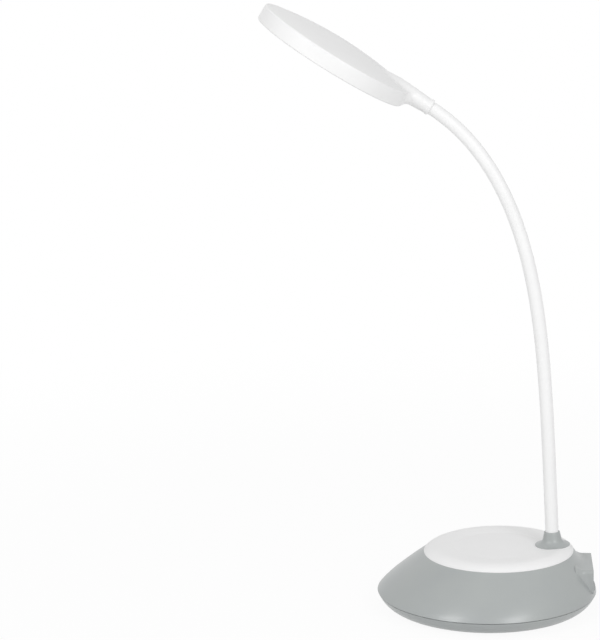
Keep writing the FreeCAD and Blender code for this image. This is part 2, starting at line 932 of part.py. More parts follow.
# Head: domed back with a straight band and a nozzle
# The back is a shallow spherical cap, centred on the head's axis, that starts at the band's round edge.
dome_edge = "( head_radius - head_edge )"
dome_top = "( band_above + head_dome )"
dome_sphere = f"( ( {dome_edge} ^ 2 + head_dome ^ 2 ) / ( 2 * head_dome ) )"
dome_centre = f"( {dome_top} - {dome_sphere} )"
inner_sphere = f"( {dome_sphere} - head_wall )"
shoulder = f"head_edge * {CORNER_SHARE:.6f}"
head_outer = turned(
    "HeadOuter",
    [
        ("0", "0 - band_below"),
        ("head_radius - head_edge / 2", "0 - band_below"),
        ("head_radius", "0 - band_below + head_edge / 2"),
        ("head_radius", "band_above - head_edge", f"head_radius - {shoulder}", f"band_above - {shoulder}"),
        (
            dome_edge,
            "band_above",
            f"{dome_edge} / 2",
            f"{dome_centre} + sqrt({dome_sphere} ^ 2 - {dome_edge} ^ 2 / 4)",
        ),
        ("0", dome_top),
    ],
)
ledge_height = "0 - band_below + diffuser_recess + diffuser_thickness"
diffuser_bore = "head_radius - head_wall"
cavity_radius = "( head_radius - head_wall - diffuser_ledge )"
head_cavity = turned(
    "HeadCavity",
    [
        ("0", "0 - band_below - head_wall"),
        (diffuser_bore, "0 - band_below - head_wall"),
        (diffuser_bore, ledge_height),
        (cavity_radius, ledge_height),
        (
            cavity_radius,
            f"{dome_centre} + sqrt({inner_sphere} ^ 2 - {cavity_radius} ^ 2)",
            f"{cavity_radius} / 2",
            f"{dome_centre} + sqrt({inner_sphere} ^ 2 - {cavity_radius} ^ 2 / 4)",
        ),
        ("0", f"{dome_top} - head_wall"),
    ],
)
post_places = ring_places(BOARD_POSTS, size("post_ring"), 270.0, 360.0 / BOARD_POSTS)
posts = [
    cylinder("post_radius", dome_top, shift(x, y, size("led_board_height"))) for x, y in post_places
]
post_pilots = [
    cylinder(
        "screw_radius",
        "led_screw_length",
        shift(x, y, size("led_board_height") - size("led_board_thickness")),
    )
    for x, y in post_places
]
nozzle_tip = "head_radius + nozzle_length"
nozzle = turned(
    "Nozzle",
    [
        ("0", "head_radius - boss_length"),
        ("nozzle_root_radius - nozzle_ring_width", "head_radius - boss_length"),
        ("nozzle_root_radius", "head_radius - fairing_length"),
        ("nozzle_root_radius", "head_radius - head_wall * 2"),
        ("nozzle_end_radius", f"{nozzle_tip} - nozzle_ring_width * 1.5"),
        ("nozzle_end_radius + nozzle_ring_rise", f"{nozzle_tip} - nozzle_ring_width"),
        ("nozzle_end_radius + nozzle_ring_rise", f"{nozzle_tip} - nozzle_ring_rise"),
        ("nozzle_end_radius", nozzle_tip),
        ("0", nozzle_tip),
    ],
    "XY_Plane",
)
along_nozzle = Rotation(Vector(1, 0, 0), -90)
sleeve_socket = cylinder(
    "sleeve_radius + fit_gap / 2",
    "socket_depth + nozzle_ring_width",
    Placement(
        Vector(0, size("head_radius") + size("nozzle_length") - size("socket_depth"), 0),
        along_nozzle,
    ),
)
ferrule_bore = cylinder(
    "ferrule_radius + fit_gap / 4",
    "boss_length + nozzle_length - boss_end_wall",
    Placement(Vector(0, boss_end + size("boss_end_wall"), 0), along_nozzle),
)
thread_bore = cylinder(
    "head_thread_radius + fit_gap / 4",
    "boss_length",
    Placement(Vector(0, boss_end - size("boss_end_wall"), 0), along_nozzle),
)
nut_room = box(
    "2 * head_nut_flats / sqrt(3) + 2 * fit_gap",
    "head_nut_thickness + fit_gap",
    "head_nut_flats + 2 * fit_gap",
    shift(
        -size("head_nut_flats") / math.sqrt(3) - size("fit_gap"),
        boss_end - size("head_nut_thickness") - size("fit_gap"),
        -size("head_nut_flats") / 2 - size("fit_gap"),
    ),
)
head_blank = cut(head_outer, cut(head_cavity, fuse(*posts)))
head_cuts = fuse(sleeve_socket, ferrule_bore, thread_bore, nut_room, *post_pilots)
head_shell = cut(fuse(head_blank, nozzle), head_cuts)
head_shell.Placement = head_frame
name_piece(head_shell, "head_shell")

# Head: ferrule and its nut
ferrule_upper = turned(
    "FerruleUpper",
    [
        ("core_bore", "head_radius - boss_length + boss_end_wall - head_thread_length"),
        ("head_thread_radius", "head_radius - boss_length + boss_end_wall - head_thread_length"),
        ("head_thread_radius", "head_radius - boss_length + boss_end_wall"),
        ("ferrule_radius", "head_radius - boss_length + boss_end_wall"),
        ("ferrule_radius", f"{nozzle_tip} + ferrule_reach"),
        ("core_bore", f"{nozzle_tip} + ferrule_reach"),
    ],
    "XY_Plane",
)
ferrule_upper.Placement = head_frame
name_piece(ferrule_upper, "neck_ferrule_upper")
head_nut = hexagon_nut("HeadNut", "head_nut_flats", "head_thread_radius", "head_nut_thickness")
head_nut.Placement = (
    head_frame
    * Placement(Vector(0, boss_end - size("head_nut_thickness"), 0), along_nozzle)
    * Placement(Vector(), Rotation(Vector(0, 0, 1), 90))
)
name_piece(head_nut, "head_lock_nut")

# Head: board with its chips and screws, and the diffuser
led_board = new_body("LedBoard")
board_sketch = sketch_on(led_board, "XY_Plane", shift(0, 0, size("led_board_height")))
circle_in(board_sketch, "0", "0", "led_board_radius")
padded(led_board, board_sketch, "led_board_thickness", True)
doc.recompute()
notch_sketch = sketch_on(led_board, "XY_Plane", shift(0, 0, size("led_board_height")))
outline(
    notch_sketch,
    [
        ("0 - led_notch_width / 2", "led_notch_edge"),
        ("led_notch_width / 2", "led_notch_edge"),
        ("led_notch_width / 2", "led_board_radius + led_board_thickness"),
        ("0 - led_notch_width / 2", "led_board_radius + led_board_thickness"),
    ],
)
pocketed(led_board, notch_sketch, "led_board_thickness")
for hole_x, hole_y in post_places:
    hole_sketch = sketch_on(led_board, "XY_Plane", shift(0, 0, size("led_board_height")))
    exact_x = "0" if abs(hole_x) < 1e-6 else f"{hole_x:.4f}"
    circle_in(hole_sketch, exact_x, f"{hole_y:.4f}", "screw_radius")
    pocketed(led_board, hole_sketch, "led_board_thickness")
led_board.Placement = head_frame
name_piece(led_board, "led_board")

board_under = size("led_board_height") - size("led_board_thickness")
chip_turns = [360.0 / INNER_CHIPS * index for index in range(INNER_CHIPS)]
chip_spots = [(size("inner_chip_ring"), turn) for turn in chip_turns]
# The outer ring leaves out the place of the notch, which faces the nozzle.
outer_step = 360.0 / OUTER_CHIPS
chip_spots += [(size("outer_chip_ring"), 90.0 + outer_step * index) for index in range(1, OUTER_CHIPS)]
chips = []
for ring_radius, turn in chip_spots:
    chip_turn = Rotation(Vector(0, 0, 1), turn)
    chip_place = Placement(Vector(0, 0, board_under - size("chip_thickness")), chip_turn)
    corner = shift(ring_radius - size("chip_size") / 2, -size("chip_size") / 2, 0)
    chips.append(box("chip_size", "chip_size", "chip_thickness", head_frame * chip_place * corner))
name_piece(group(chips), "led_chips")
name_piece(
    group([screw("led_screw_length", head_frame * shift(x, y, board_under)) for x, y in post_places]),
    "led_board_screws",
)
diffuser = turned(
    "Diffuser",
    [
        ("0", "0 - band_below + diffuser_recess"),
        (f"{diffuser_bore} - fit_gap - diffuser_recess", "0 - band_below + diffuser_recess"),
        (f"{diffuser_bore} - fit_gap", "0 - band_below + diffuser_recess * 2"),
        (f"{diffuser_bore} - fit_gap", ledge_height),
        ("0", ledge_height),
    ],
)
diffuser.Placement = head_frame
name_piece(diffuser, "diffuser")

# Port block: panel, socket, indicator and slide switch on one board
usb_axis = "( circuit_top + usb_height / 2 )"
switch_axis = "( circuit_top + switch_height / 2 )"
pinhole_axis = "( circuit_top + pinhole_height )"


def socket_outline(inset):
    """Outline of the charging socket, its lower corners cut, drawn in by an inset."""
    half = f"( usb_width / 2 - ( {inset} ) )"
    low = f"( {usb_axis} - usb_height / 2 + ( {inset} ) )"
    high = f"( {usb_axis} + usb_height / 2 - ( {inset} ) )"
    return [
        (f"usb_place - {half} + usb_corner", low),
        (f"usb_place + {half} - usb_corner", low),
        (f"usb_place + {half}", f"{low} + usb_corner"),
        (f"usb_place + {half}", high),
        (f"usb_place - {half}", high),
        (f"usb_place - {half}", f"{low} + usb_corner"),
    ]


panel = new_body("Panel")
panel_sketch = sketch_on(panel, "XZ_Plane", shift(0, 0, -panel_face))
outline(panel_sketch, rounded("0", block_middle, "panel_width", "panel_height", "panel_corner"))
outline(panel_sketch, socket_outline("0 - cutout_gap"))
outline(
    panel_sketch,
    [
        ("0 - switch_place - slot_width / 2", f"{switch_axis} - slot_height / 2"),
        ("0 - switch_place + slot_width / 2", f"{switch_axis} - slot_height / 2"),
        ("0 - switch_place + slot_width / 2", f"{switch_axis} + slot_height / 2"),
        ("0 - switch_place - slot_width / 2", f"{switch_axis} + slot_height / 2"),
    ],
)
circle_in(panel_sketch, "pinhole_place", pinhole_axis, "pinhole_radius")
padded(panel, panel_sketch, "panel_thickness")
name_piece(panel, "port_panel")

usb_face = panel_face - size("usb_mouth")
usb = new_body("UsbSocket")
usb_sketch = sketch_on(usb, "XZ_Plane", shift(0, 0, -usb_face))
outline(usb_sketch, socket_outline("0"))
padded(usb, usb_sketch, "usb_length")
doc.recompute()
mouth_sketch = sketch_on(usb, "XZ_Plane", shift(0, 0, -usb_face))
outline(mouth_sketch, socket_outline("usb_wall"))
pocketed(usb, mouth_sketch, "usb_length - usb_wall * 2", True)
tongue_sketch = sketch_on(usb, "XZ_Plane", shift(0, 0, -usb_face + size("usb_wall") * 2))
outline(
    tongue_sketch,
    [
        ("usb_place - usb_width / 4", f"{usb_axis} + usb_wall / 2"),
        ("usb_place + usb_width / 4", f"{usb_axis} + usb_wall / 2"),
        ("usb_place + usb_width / 4", f"{usb_axis} + usb_wall * 2"),
        ("usb_place - usb_width / 4", f"{usb_axis} + usb_wall * 2"),
    ],
)
padded(usb, tongue_sketch, "usb_length - usb_wall * 3")
name_piece(usb, "usb_socket")

circuit_place = shift(
    -size("circuit_width") / 2,
    size("circuit_front"),
    size("circuit_top") - size("circuit_thickness"),
)
circuit_blank = box("circuit_width", "circuit_back - circuit_front", "circuit_thickness", circuit_place)
circuit_holes = [
    cylinder(
        "screw_radius",
        "circuit_thickness * 3",
        shift(x, y, size("circuit_top") - size("circuit_thickness") * 2),
    )
    for x, y in circuit_screw_places
]
name_piece(cut(circuit_blank, fuse(*circuit_holes)), "control_board")
downward = Rotation(Vector(1, 0, 0), 180)
name_piece(
    group(
        [
            screw("circuit_screw_length", Placement(Vector(x, y, size("circuit_top")), downward))
            for x, y in circuit_screw_places
        ]
    ),
    "circuit_screws",
)

lamp_back = panel_seat - size("fit_gap")
indicator_body = box(
    "pinhole_radius * 4",
    "usb_length - panel_recess * 2",
    "pinhole_height + pinhole_radius * 2",
    shift(
        size("pinhole_place") - 2 * size("pinhole_radius"),
        lamp_back - size("usb_length") + 2 * size("panel_recess"),
        size("circuit_top"),
    ),
)
indicator_nose = cylinder(
    "pinhole_radius - fit_gap / 4",
    "panel_thickness + fit_gap - panel_recess",
    Placement(
        Vector(size("pinhole_place"), lamp_back, size("circuit_top") + size("pinhole_height")),
        along_nozzle,
    ),
)
name_piece(fuse(indicator_body, indicator_nose), "indicator_led")

switch_left = -size("switch_place") - size("switch_width") / 2
switch_blank = box(
    "switch_width",
    "switch_depth",
    "switch_height",
    shift(switch_left, lamp_back - size("switch_depth"), size("circuit_top")),
)
carrier_depth = size("switch_depth") / 2
track = box(
    "slot_width + 2 * fit_gap",
    "switch_depth",
    "slot_height + 2 * fit_gap",
    shift(
        -size("switch_place") - size("slot_width") / 2 - size("fit_gap"),
        lamp_back - carrier_depth,
        size("circuit_top") + size("switch_height") / 2 - size("slot_height") / 2 - size("fit_gap"),
    ),
)
name_piece(cut(switch_blank, track), "switch_housing")
slider_middle = -size("switch_place") - size("slider_travel") / 2
slider_low = size("circuit_top") + size("switch_height") / 2
carrier = box(
    "slider_width + fit_gap * 4",
    "switch_depth / 2 - fit_gap * 2",
    "slot_height",
    shift(
        slider_middle - size("slider_width") / 2 - 2 * size("fit_gap"),
        lamp_back - carrier_depth + size("fit_gap"),
        slider_low - size("slot_height") / 2,
    ),
)
nub_start = lamp_back - carrier_depth + 2 * size("fit_gap")
nub_length = panel_face + size("slider_proud") - nub_start
nub = box(
    "slider_width",
    f"{nub_length:.4f}",
    "slider_height",
    shift(slider_middle - size("slider_width") / 2, nub_start, slider_low - size("slider_height") / 2),
)
name_piece(fuse(carrier, nub), "switch_slider")

doc.recompute()

failed = []
for obj in doc.Objects:
    if {"Invalid", "Error"} & set(obj.State):
        failed.append(f"{obj.Label} ({obj.getStatusString()})")
if failed:
    raise RuntimeError(f"objects that failed to build: {failed}")
for piece in pieces:
    if piece.Shape.isNull() or not piece.Shape.isValid() or not piece.Shape.Solids:
        raise RuntimeError(f"{piece.Label} has no valid solid")

os.makedirs("parts", exist_ok=True)
for piece in pieces:
    piece.Shape.exportStep(f"parts/{piece.Label}.step")
    solids = piece.Shape.Solids
    print(f"{piece.Label}: {len(solids)} solid(s), {sum(solid.Volume for solid in solids):.1f} mm3")
for index, joint in enumerate(neck_joints):
    joint_lean = math.degrees(lean(joint_stations[index]))
    print(f"neck joint {index:02d}: y {joint.y:.4f}, z {joint.z:.4f}, lean {joint_lean:.3f}")
print(f"head centre: y {head_centre.y:.3f}, z {head_centre.z:.3f}")
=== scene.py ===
"""Looks of a rechargeable gooseneck table lamp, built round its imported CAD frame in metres.

The lamp stands on the floor at z = 0. Its head reaches out towards -Y, and the neck's root, the
charging socket and the switch are at the back, +Y. The camera looks along -X, at the lamp's
right-hand side.
"""

from __future__ import annotations

import json
import logging
import math
from dataclasses import dataclass, field
from enum import Enum
from typing import Any, Callable, Sequence

import bmesh
import bpy
from mathutils import Matrix, Vector
from mathutils.bvhtree import BVHTree

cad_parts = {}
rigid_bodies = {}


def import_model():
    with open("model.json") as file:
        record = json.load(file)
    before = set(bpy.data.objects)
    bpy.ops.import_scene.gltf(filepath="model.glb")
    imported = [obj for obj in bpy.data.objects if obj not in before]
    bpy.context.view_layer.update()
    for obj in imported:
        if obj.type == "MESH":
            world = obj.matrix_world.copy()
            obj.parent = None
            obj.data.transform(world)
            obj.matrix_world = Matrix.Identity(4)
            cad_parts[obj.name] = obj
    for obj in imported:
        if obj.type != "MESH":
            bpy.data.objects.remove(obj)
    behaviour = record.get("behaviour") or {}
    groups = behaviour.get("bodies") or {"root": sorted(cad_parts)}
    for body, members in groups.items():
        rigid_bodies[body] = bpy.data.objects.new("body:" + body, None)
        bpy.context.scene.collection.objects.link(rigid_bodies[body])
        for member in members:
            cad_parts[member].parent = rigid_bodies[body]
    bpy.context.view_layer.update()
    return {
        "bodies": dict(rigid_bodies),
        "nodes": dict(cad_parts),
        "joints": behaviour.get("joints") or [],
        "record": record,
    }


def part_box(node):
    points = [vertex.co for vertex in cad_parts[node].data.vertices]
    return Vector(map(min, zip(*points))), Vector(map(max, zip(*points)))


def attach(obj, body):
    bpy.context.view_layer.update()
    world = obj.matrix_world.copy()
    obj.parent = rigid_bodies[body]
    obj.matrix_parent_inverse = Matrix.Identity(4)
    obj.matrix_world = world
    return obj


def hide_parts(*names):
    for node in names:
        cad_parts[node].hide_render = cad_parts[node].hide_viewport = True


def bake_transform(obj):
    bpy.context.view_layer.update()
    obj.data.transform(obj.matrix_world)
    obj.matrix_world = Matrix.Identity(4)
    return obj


LOG = logging.getLogger("table_lamp")
MM = 0.001
WHITE = (1.0, 1.0, 1.0, 1.0)
# Numbers of the sRGB curve: end and slope of its straight part, offset and power of the rest.
SRGB_KNEE = 0.04045
SRGB_SLOPE = 12.92
SRGB_OFFSET = 0.055
SRGB_POWER = 2.4
# Defaults of a finished mesh: sharp edges from this angle, points merged within this distance.
CREASE_DEG = 35.0
WELD_MM = 0.0005


class Light(Enum):
    """Lamps of the studio."""

    LEFT = "softbox_left"
    RIGHT = "softbox_right"
    TOP = "overhead_panel"


class Slot(Enum):
    """Material slots of the record that the lamp's finishes stand for."""

    GREY_SHELL = "grey_shell"
    WHITE_PLASTIC = "white_plastic"
    OPAL = "opal_diffuser"
    SLEEVE = "white_sleeve"
    RUBBER = "rubber_pad"
    BALLAST = "ballast_steel"
    CELL = "cell_wrap"
    BLACK = "black_plastic"
    CIRCUIT = "circuit_board"
    LED_BOARD = "led_board"
    LED_CHIP = "led_chip"
    STEEL = "plated_steel"
    LENS = "indicator_lens"
    LEAD = "lead_jacket"
    BRASS = "brass_fitting"
    CORE = "neck_core"


def linear(hex_colour: str) -> tuple[float, float, float, float]:
    """Turn an sRGB hex colour into linear red, green, blue and alpha.

    Args:
        hex_colour: Colour as six hex digits, such as "A8AAAA".

    Returns:
        The linear colour with full alpha.
    """
    channels = []
    for start in (0, 2, 4):
        value = int(hex_colour[start : start + 2], 16) / 255
        if value <= SRGB_KNEE:
            channels.append(value / SRGB_SLOPE)
        else:
            channels.append(((value + SRGB_OFFSET) / (1 + SRGB_OFFSET)) ** SRGB_POWER)
    return (*channels, 1.0)


def add_node(
    tree: bpy.types.NodeTree,
    kind: str,
    values: dict[Any, Any] | None = None,
    links: dict[Any, Any] | None = None,
    **settings: Any,
) -> bpy.types.Node:
    """Add a node with its settings, socket values and incoming links.

    Args:
        tree: Tree that gets the node.
        kind: Blender's type name of the node.
        values: Values by input name or index.
        links: Output sockets by the input name or index that they feed.
        **settings: Properties of the node itself.

    Returns:
        The new node.
    """
    made = tree.nodes.new(kind)
    for name, value in settings.items():
        setattr(made, name, value)
    for name, value in (values or {}).items():
        made.inputs[name].default_value = value
    for name, source in (links or {}).items():
        tree.links.new(source, made.inputs[name])
    return made


@dataclass(frozen=True)
class Finish:
    """One surface finish, made of a principled shader with a fine grain.

    The grain drives the bump and a slight change of gloss, and a slow mottle changes the colour a
    little.
    """

    name: str
    slot: Slot
    colour: str
    mottle_colour: str
    roughness: float
    grain_mm: float
    grain_height_mm: float
    metallic: float = 0.0
    ior: float = 1.5
    coat: float = 0.0
    sheen: float = 0.0
    gloss_swing: float = 0.06
    least_roughness: float = 0.03
    grain_detail: float = 3.0
    grain_roughness: float = 0.6
    bump_strength: float = 0.6
    mottle_mm: float = 24.0
    mottle_detail: float = 2.0
    mottle_roughness: float = 0.45
    mottle_from: float = 0.3
    mottle_to: float = 0.7

    def build(self) -> bpy.types.Material:
        """Build the finish's material.

        Returns:
            The new material.
        """
        material = bpy.data.materials.new(self.name)
        material.use_nodes = True
        tree = material.node_tree
        tree.nodes.clear()
        place = add_node(tree, "ShaderNodeTexCoord").outputs["Object"]
        mottle = add_node(
            tree,
            "ShaderNodeTexNoise",
            {
                "Scale": 1 / (self.mottle_mm * MM),
                "Detail": self.mottle_detail,
                "Roughness": self.mottle_roughness,
            },
            {"Vector": place},
        )
        grain = add_node(
            tree,
            "ShaderNodeTexNoise",
            {
                "Scale": 1 / (self.grain_mm * MM),
                "Detail": self.grain_detail,
                "Roughness": self.grain_roughness,
            },
            {"Vector": place},
        )
        tint = self.tinted(tree, mottle.outputs["Fac"])
        gloss = add_node(
            tree,
            "ShaderNodeMapRange",
            {
                "To Min": max(self.roughness - self.gloss_swing, self.least_roughness),
                "To Max": min(self.roughness + self.gloss_swing, 1.0),
            },
            {"Value": grain.outputs["Fac"]},
        )
        bump = add_node(
            tree,
            "ShaderNodeBump",
            {"Strength": self.bump_strength, "Distance": self.grain_height_mm * MM},
            {"Height": grain.outputs["Fac"]},
        )
        shader = add_node(
            tree,
            "ShaderNodeBsdfPrincipled",
            {
                "Metallic": self.metallic,
                "IOR": self.ior,
                "Coat Weight": self.coat,
                "Sheen Weight": self.sheen,
            },
            {
                "Base Color": tint,
                "Roughness": gloss.outputs["Result"],
                "Normal": bump.outputs["Normal"],
            },
        )
        add_node(tree, "ShaderNodeOutputMaterial", links={"Surface": shader.outputs["BSDF"]})
        return material

    def tinted(self, tree: bpy.types.NodeTree, share: bpy.types.NodeSocket) -> bpy.types.NodeSocket:
        """Mix the finish's two colours.

        Args:
            tree: Tree of the material.
            share: Socket that gives the second colour's share.

        Returns:
            The socket of the mixed colour.
        """
        ramp = add_node(tree, "ShaderNodeValToRGB", links={"Fac": share})
        low, high = ramp.color_ramp.elements
        low.position = self.mottle_from
        high.position = self.mottle_to
        low.color = linear(self.colour)
        high.color = linear(self.mottle_colour)
        return ramp.outputs["Color"]


# Moulded ABS from a spark-eroded tool: even, satin, with a very fine sparkle in the highlights.
# Its grain is drawn coarser than the real 0.1 mm, so that it shows.
GREY_ABS = Finish(
    "moulded_grey_abs", Slot.GREY_SHELL, "A8ACAB", "A5A9A9",
    roughness=0.3, grain_mm=0.5, grain_height_mm=0.003,
)
WHITE_ABS = Finish(
    "moulded_white_abs", Slot.WHITE_PLASTIC, "EFEFEF", "EDEDED",
    roughness=0.48, grain_mm=0.5, grain_height_mm=0.003,
)
# Opal acrylic, sandblasted on its face: milky and soft, without a sharp highlight.
OPAL_ACRYLIC = Finish(
    "frosted_opal_acrylic", Slot.OPAL, "F1F1EE", "EEEEEA",
    roughness=0.55, grain_mm=0.35, grain_height_mm=0.004, ior=1.49,
)
# Extruded silicone over the neck: smooth, a little waxy, with a soft broad highlight.
SILICONE = Finish(
    "extruded_white_silicone", Slot.SLEEVE, "F1F1F1", "EFEFEF",
    roughness=0.44, grain_mm=0.6, grain_height_mm=0.0015, ior=1.41,
)
# Die-cut rubber sheet: matt black with a dusty bloom.
RUBBER = Finish(
    "die_cut_rubber", Slot.RUBBER, "2A2A2A", "323231",
    roughness=0.82, grain_mm=0.6, grain_height_mm=0.05, sheen=0.1,
)
# Cold-rolled steel with its mill scale taken off: dull grey metal.
MILL_STEEL = Finish(
    "cold_rolled_steel", Slot.BALLAST, "8C8D8F", "838486",
    roughness=0.45, grain_mm=1.2, grain_height_mm=0.01, metallic=1.0,
)
# Shrink wrap on the cell: thin glossy film.
SHRINK_WRAP = Finish(
    "blue_shrink_wrap", Slot.CELL, "2A5FA8", "27599F",
    roughness=0.22, grain_mm=2.0, grain_height_mm=0.01, coat=0.3,
)
# Moulded black nylon of the switch and the cradle: dark, half matt.
BLACK_NYLON = Finish(
    "moulded_black_nylon", Slot.BLACK, "151515", "1B1B1B",
    roughness=0.5, grain_mm=0.4, grain_height_mm=0.012,
)
# Green solder mask over glass-fibre board: dark, smooth, half glossy.
SOLDER_MASK = Finish(
    "green_solder_mask", Slot.CIRCUIT, "1E6B3A", "1B6235",
    roughness=0.3, grain_mm=0.8, grain_height_mm=0.01,
)
# White solder mask on an aluminium-backed board: flat white with a dull shine.
WHITE_MASK = Finish(
    "white_solder_mask", Slot.LED_BOARD, "E6E6E2", "E0E0DC",
    roughness=0.4, grain_mm=0.8, grain_height_mm=0.01,
)
# Yellow phosphor under clear silicone on each chip: warm and wet-looking.
PHOSPHOR = Finish(
    "yellow_phosphor", Slot.LED_CHIP, "E8C95A", "E2BE48",
    roughness=0.3, grain_mm=0.3, grain_height_mm=0.01,
)
# Nickel plate on steel: bright, slightly warm.
NICKEL = Finish(
    "nickel_plate", Slot.STEEL, "C9C7C2", "BFBDB8",
    roughness=0.28, grain_mm=0.9, grain_height_mm=0.004, metallic=1.0,
)
# Stamped tin-plate shell of the socket: nearly black colour as painted shade inside the panel.
SHADE_DARKENED_TIN = Finish(
    "shade_darkened_tin_plate", Slot.STEEL, "2B2C2E", "262729",
    roughness=0.5, grain_mm=0.6, grain_height_mm=0.004, metallic=1.0,
)
# Smoked acrylic lens of the charging lamp: nearly black and glossy.
SMOKED_LENS = Finish(
    "smoked_lens", Slot.LENS, "1C1C1E", "202022",
    roughness=0.15, grain_mm=1.5, grain_height_mm=0.003,
)
# Round jacket of the lead: soft black vinyl.
VINYL = Finish(
    "black_vinyl_jacket", Slot.LEAD, "1D1D1D", "222222",
    roughness=0.55, grain_mm=0.5, grain_height_mm=0.01,
)
# Turned brass of the two ferrules: warm metal with a clear shine.
BRASS = Finish(
    "turned_brass", Slot.BRASS, "C9A24D", "BF9743",
    roughness=0.3, grain_mm=0.7, grain_height_mm=0.006, metallic=1.0,
)
# Wound steel wire of the neck's core: mid-grey metal with a broken shine.
WOUND_WIRE = Finish(
    "wound_steel_wire", Slot.CORE, "8F9092", "868789",
    roughness=0.38, grain_mm=0.8, grain_height_mm=0.01, metallic=1.0,
)
FINISHES = (
    GREY_ABS,
    WHITE_ABS,
    OPAL_ACRYLIC,
    SILICONE,
    RUBBER,
    MILL_STEEL,
    SHRINK_WRAP,
    BLACK_NYLON,
    SOLDER_MASK,
    WHITE_MASK,
    PHOSPHOR,
    NICKEL,
    SMOKED_LENS,
    VINYL,
    BRASS,
    WOUND_WIRE,
)


class Palette:
    """The materials, one for each slot of the record."""

    def __init__(self) -> None:
        """Build every finish once."""
        self.materials = {finish.slot: finish.build() for finish in FINISHES}
        # The socket's tin plate, its colour painted nearly black with shade.
        self.socket = SHADE_DARKENED_TIN.build()

    def dress_node(self, node: bpy.types.Object, material: bpy.types.Material) -> None:
        """Give a CAD node a material."""
        for place in node.material_slots:
            place.material = material

    def dress_piece(self, piece: bpy.types.Object, slot: Slot) -> None:
        """Give a new piece its finish.

        Args:
            piece: The new piece.
            slot: Slot whose finish it takes.
        """
        piece.data.materials.clear()
        piece.data.materials.append(self.materials[slot])


def mesh_object(
    name: str,
    points: Sequence[Vector],
    edges: Sequence[tuple[int, int]],
    faces: Sequence[tuple[int, ...]],
) -> bpy.types.Object:
    """Make an object at the origin from points, edges and faces.

    Args:
        name: Name of the object and its mesh.
        points: Places of the vertices in metres.
        edges: Pairs of vertex indices, where there are no faces.
        faces: Loops of vertex indices.

    Returns:
        The new object, in the scene.
    """
    mesh = bpy.data.meshes.new(name)
    mesh.from_pydata([tuple(point) for point in points], list(edges), list(faces))
    mesh.update()
    made = bpy.data.objects.new(name, mesh)
    bpy.context.scene.collection.objects.link(made)
    return made


def skin(
    name: str,
    rings: Sequence[Sequence[Vector]],
    wrap: bool = False,
    crease_deg: float = CREASE_DEG,
) -> bpy.types.Object:
    """Skin closed rings of equal length into one closed surface.

    Args:
        name: Name of the piece.
        rings: Rings of points in metres.
        wrap: Whether the last ring joins the first, instead of a cap at each end.
        crease_deg: Angle from which an edge stays sharp.

    Returns:
        The piece, with its faces outwards and smooth.
    """
    count = len(rings[0])
    rows = len(rings)
    faces = []
    for row in range(rows if wrap else rows - 1):
        here = row * count
        there = (row + 1) % rows * count
        for index in range(count):
            beside = (index + 1) % count
            faces.append((here + index, here + beside, there + beside, there + index))
    if not wrap:
        faces.append(tuple(range(count)))
        faces.append(tuple(range((rows - 1) * count, rows * count)))
    made = mesh_object(name, [point for ring in rings for point in ring], [], faces)
    finish_mesh(made.data, crease_deg)
    return made


def finish_mesh(
    mesh: bpy.types.Mesh, crease_deg: float = CREASE_DEG, weld_mm: float = WELD_MM
) -> None:
    """Merge doubles, turn the faces outwards and smooth them up to a crease angle.

    Args:
        mesh: The mesh of one closed piece.
        crease_deg: Angle from which an edge stays sharp.
        weld_mm: Distance in millimetres within which points are merged.
    """
    work = bmesh.new()
    work.from_mesh(mesh)
    bmesh.ops.remove_doubles(work, verts=work.verts, dist=weld_mm * MM)
    bmesh.ops.dissolve_degenerate(work, edges=work.edges, dist=weld_mm * MM)
    bmesh.ops.recalc_face_normals(work, faces=work.faces)
    work.to_mesh(mesh)
    work.free()
    mesh.shade_smooth()
    mesh.set_sharp_from_angle(angle=math.radians(crease_deg))


def leaning(place: Vector, lean_deg: float) -> Matrix:
    """Give the frame that stands at a place and leans about X."""
    return Matrix.Translation(place) @ Matrix.Rotation(math.radians(lean_deg), 4, "X")


def turned(
    name: str, profile: Sequence[tuple[float, float]], place: Matrix, sides: int
) -> bpy.types.Object:
    """Turn a closed profile about its own Z axis.

    Args:
        name: Name of the piece.
        profile: Radius and height of each corner in millimetres, round a closed loop clear of
            the axis.
        place: Where the axis stands.
        sides: Steps of the turn.

    Returns:
        The turned ring.
    """
    rings = []
    for step in range(sides):
        turn = 2 * math.pi * step / sides
        ring = [Vector((r * math.cos(turn), r * math.sin(turn), z)) * MM for r, z in profile]
        rings.append([place @ point for point in ring])
    return skin(name, rings, wrap=True)


def node_group(name: str, inputs: Sequence[tuple[str, str]]) -> bpy.types.NodeTree:
    """Start a geometry tree with a geometry input, named inputs and a geometry output.

    Args:
        name: Name of the tree.
        inputs: Name and socket type of each further input.

    Returns:
        The new tree.
    """
    tree = bpy.data.node_groups.new(name, "GeometryNodeTree")
    tree.interface.new_socket("Geometry", in_out="INPUT", socket_type="NodeSocketGeometry")
    for label, kind in inputs:
        tree.interface.new_socket(label, in_out="INPUT", socket_type=kind)
    tree.interface.new_socket("Geometry", in_out="OUTPUT", socket_type="NodeSocketGeometry")
    return tree


def end_tree(
    tree: bpy.types.NodeTree, shape: bpy.types.NodeSocket, material: bpy.types.NodeSocket
) -> None:
    """End a geometry tree in real meshes that have their material.

    Args:
        tree: The geometry tree.
        shape: Socket of the finished geometry.
        material: Socket of its material.
    """
    real = add_node(tree, "GeometryNodeRealizeInstances", links={"Geometry": shape})
    dressed = add_node(
        tree,
        "GeometryNodeSetMaterial",
        links={"Geometry": real.outputs["Geometry"], "Material": material},
    )
    add_node(tree, "NodeGroupOutput", links={"Geometry": dressed.outputs["Geometry"]})


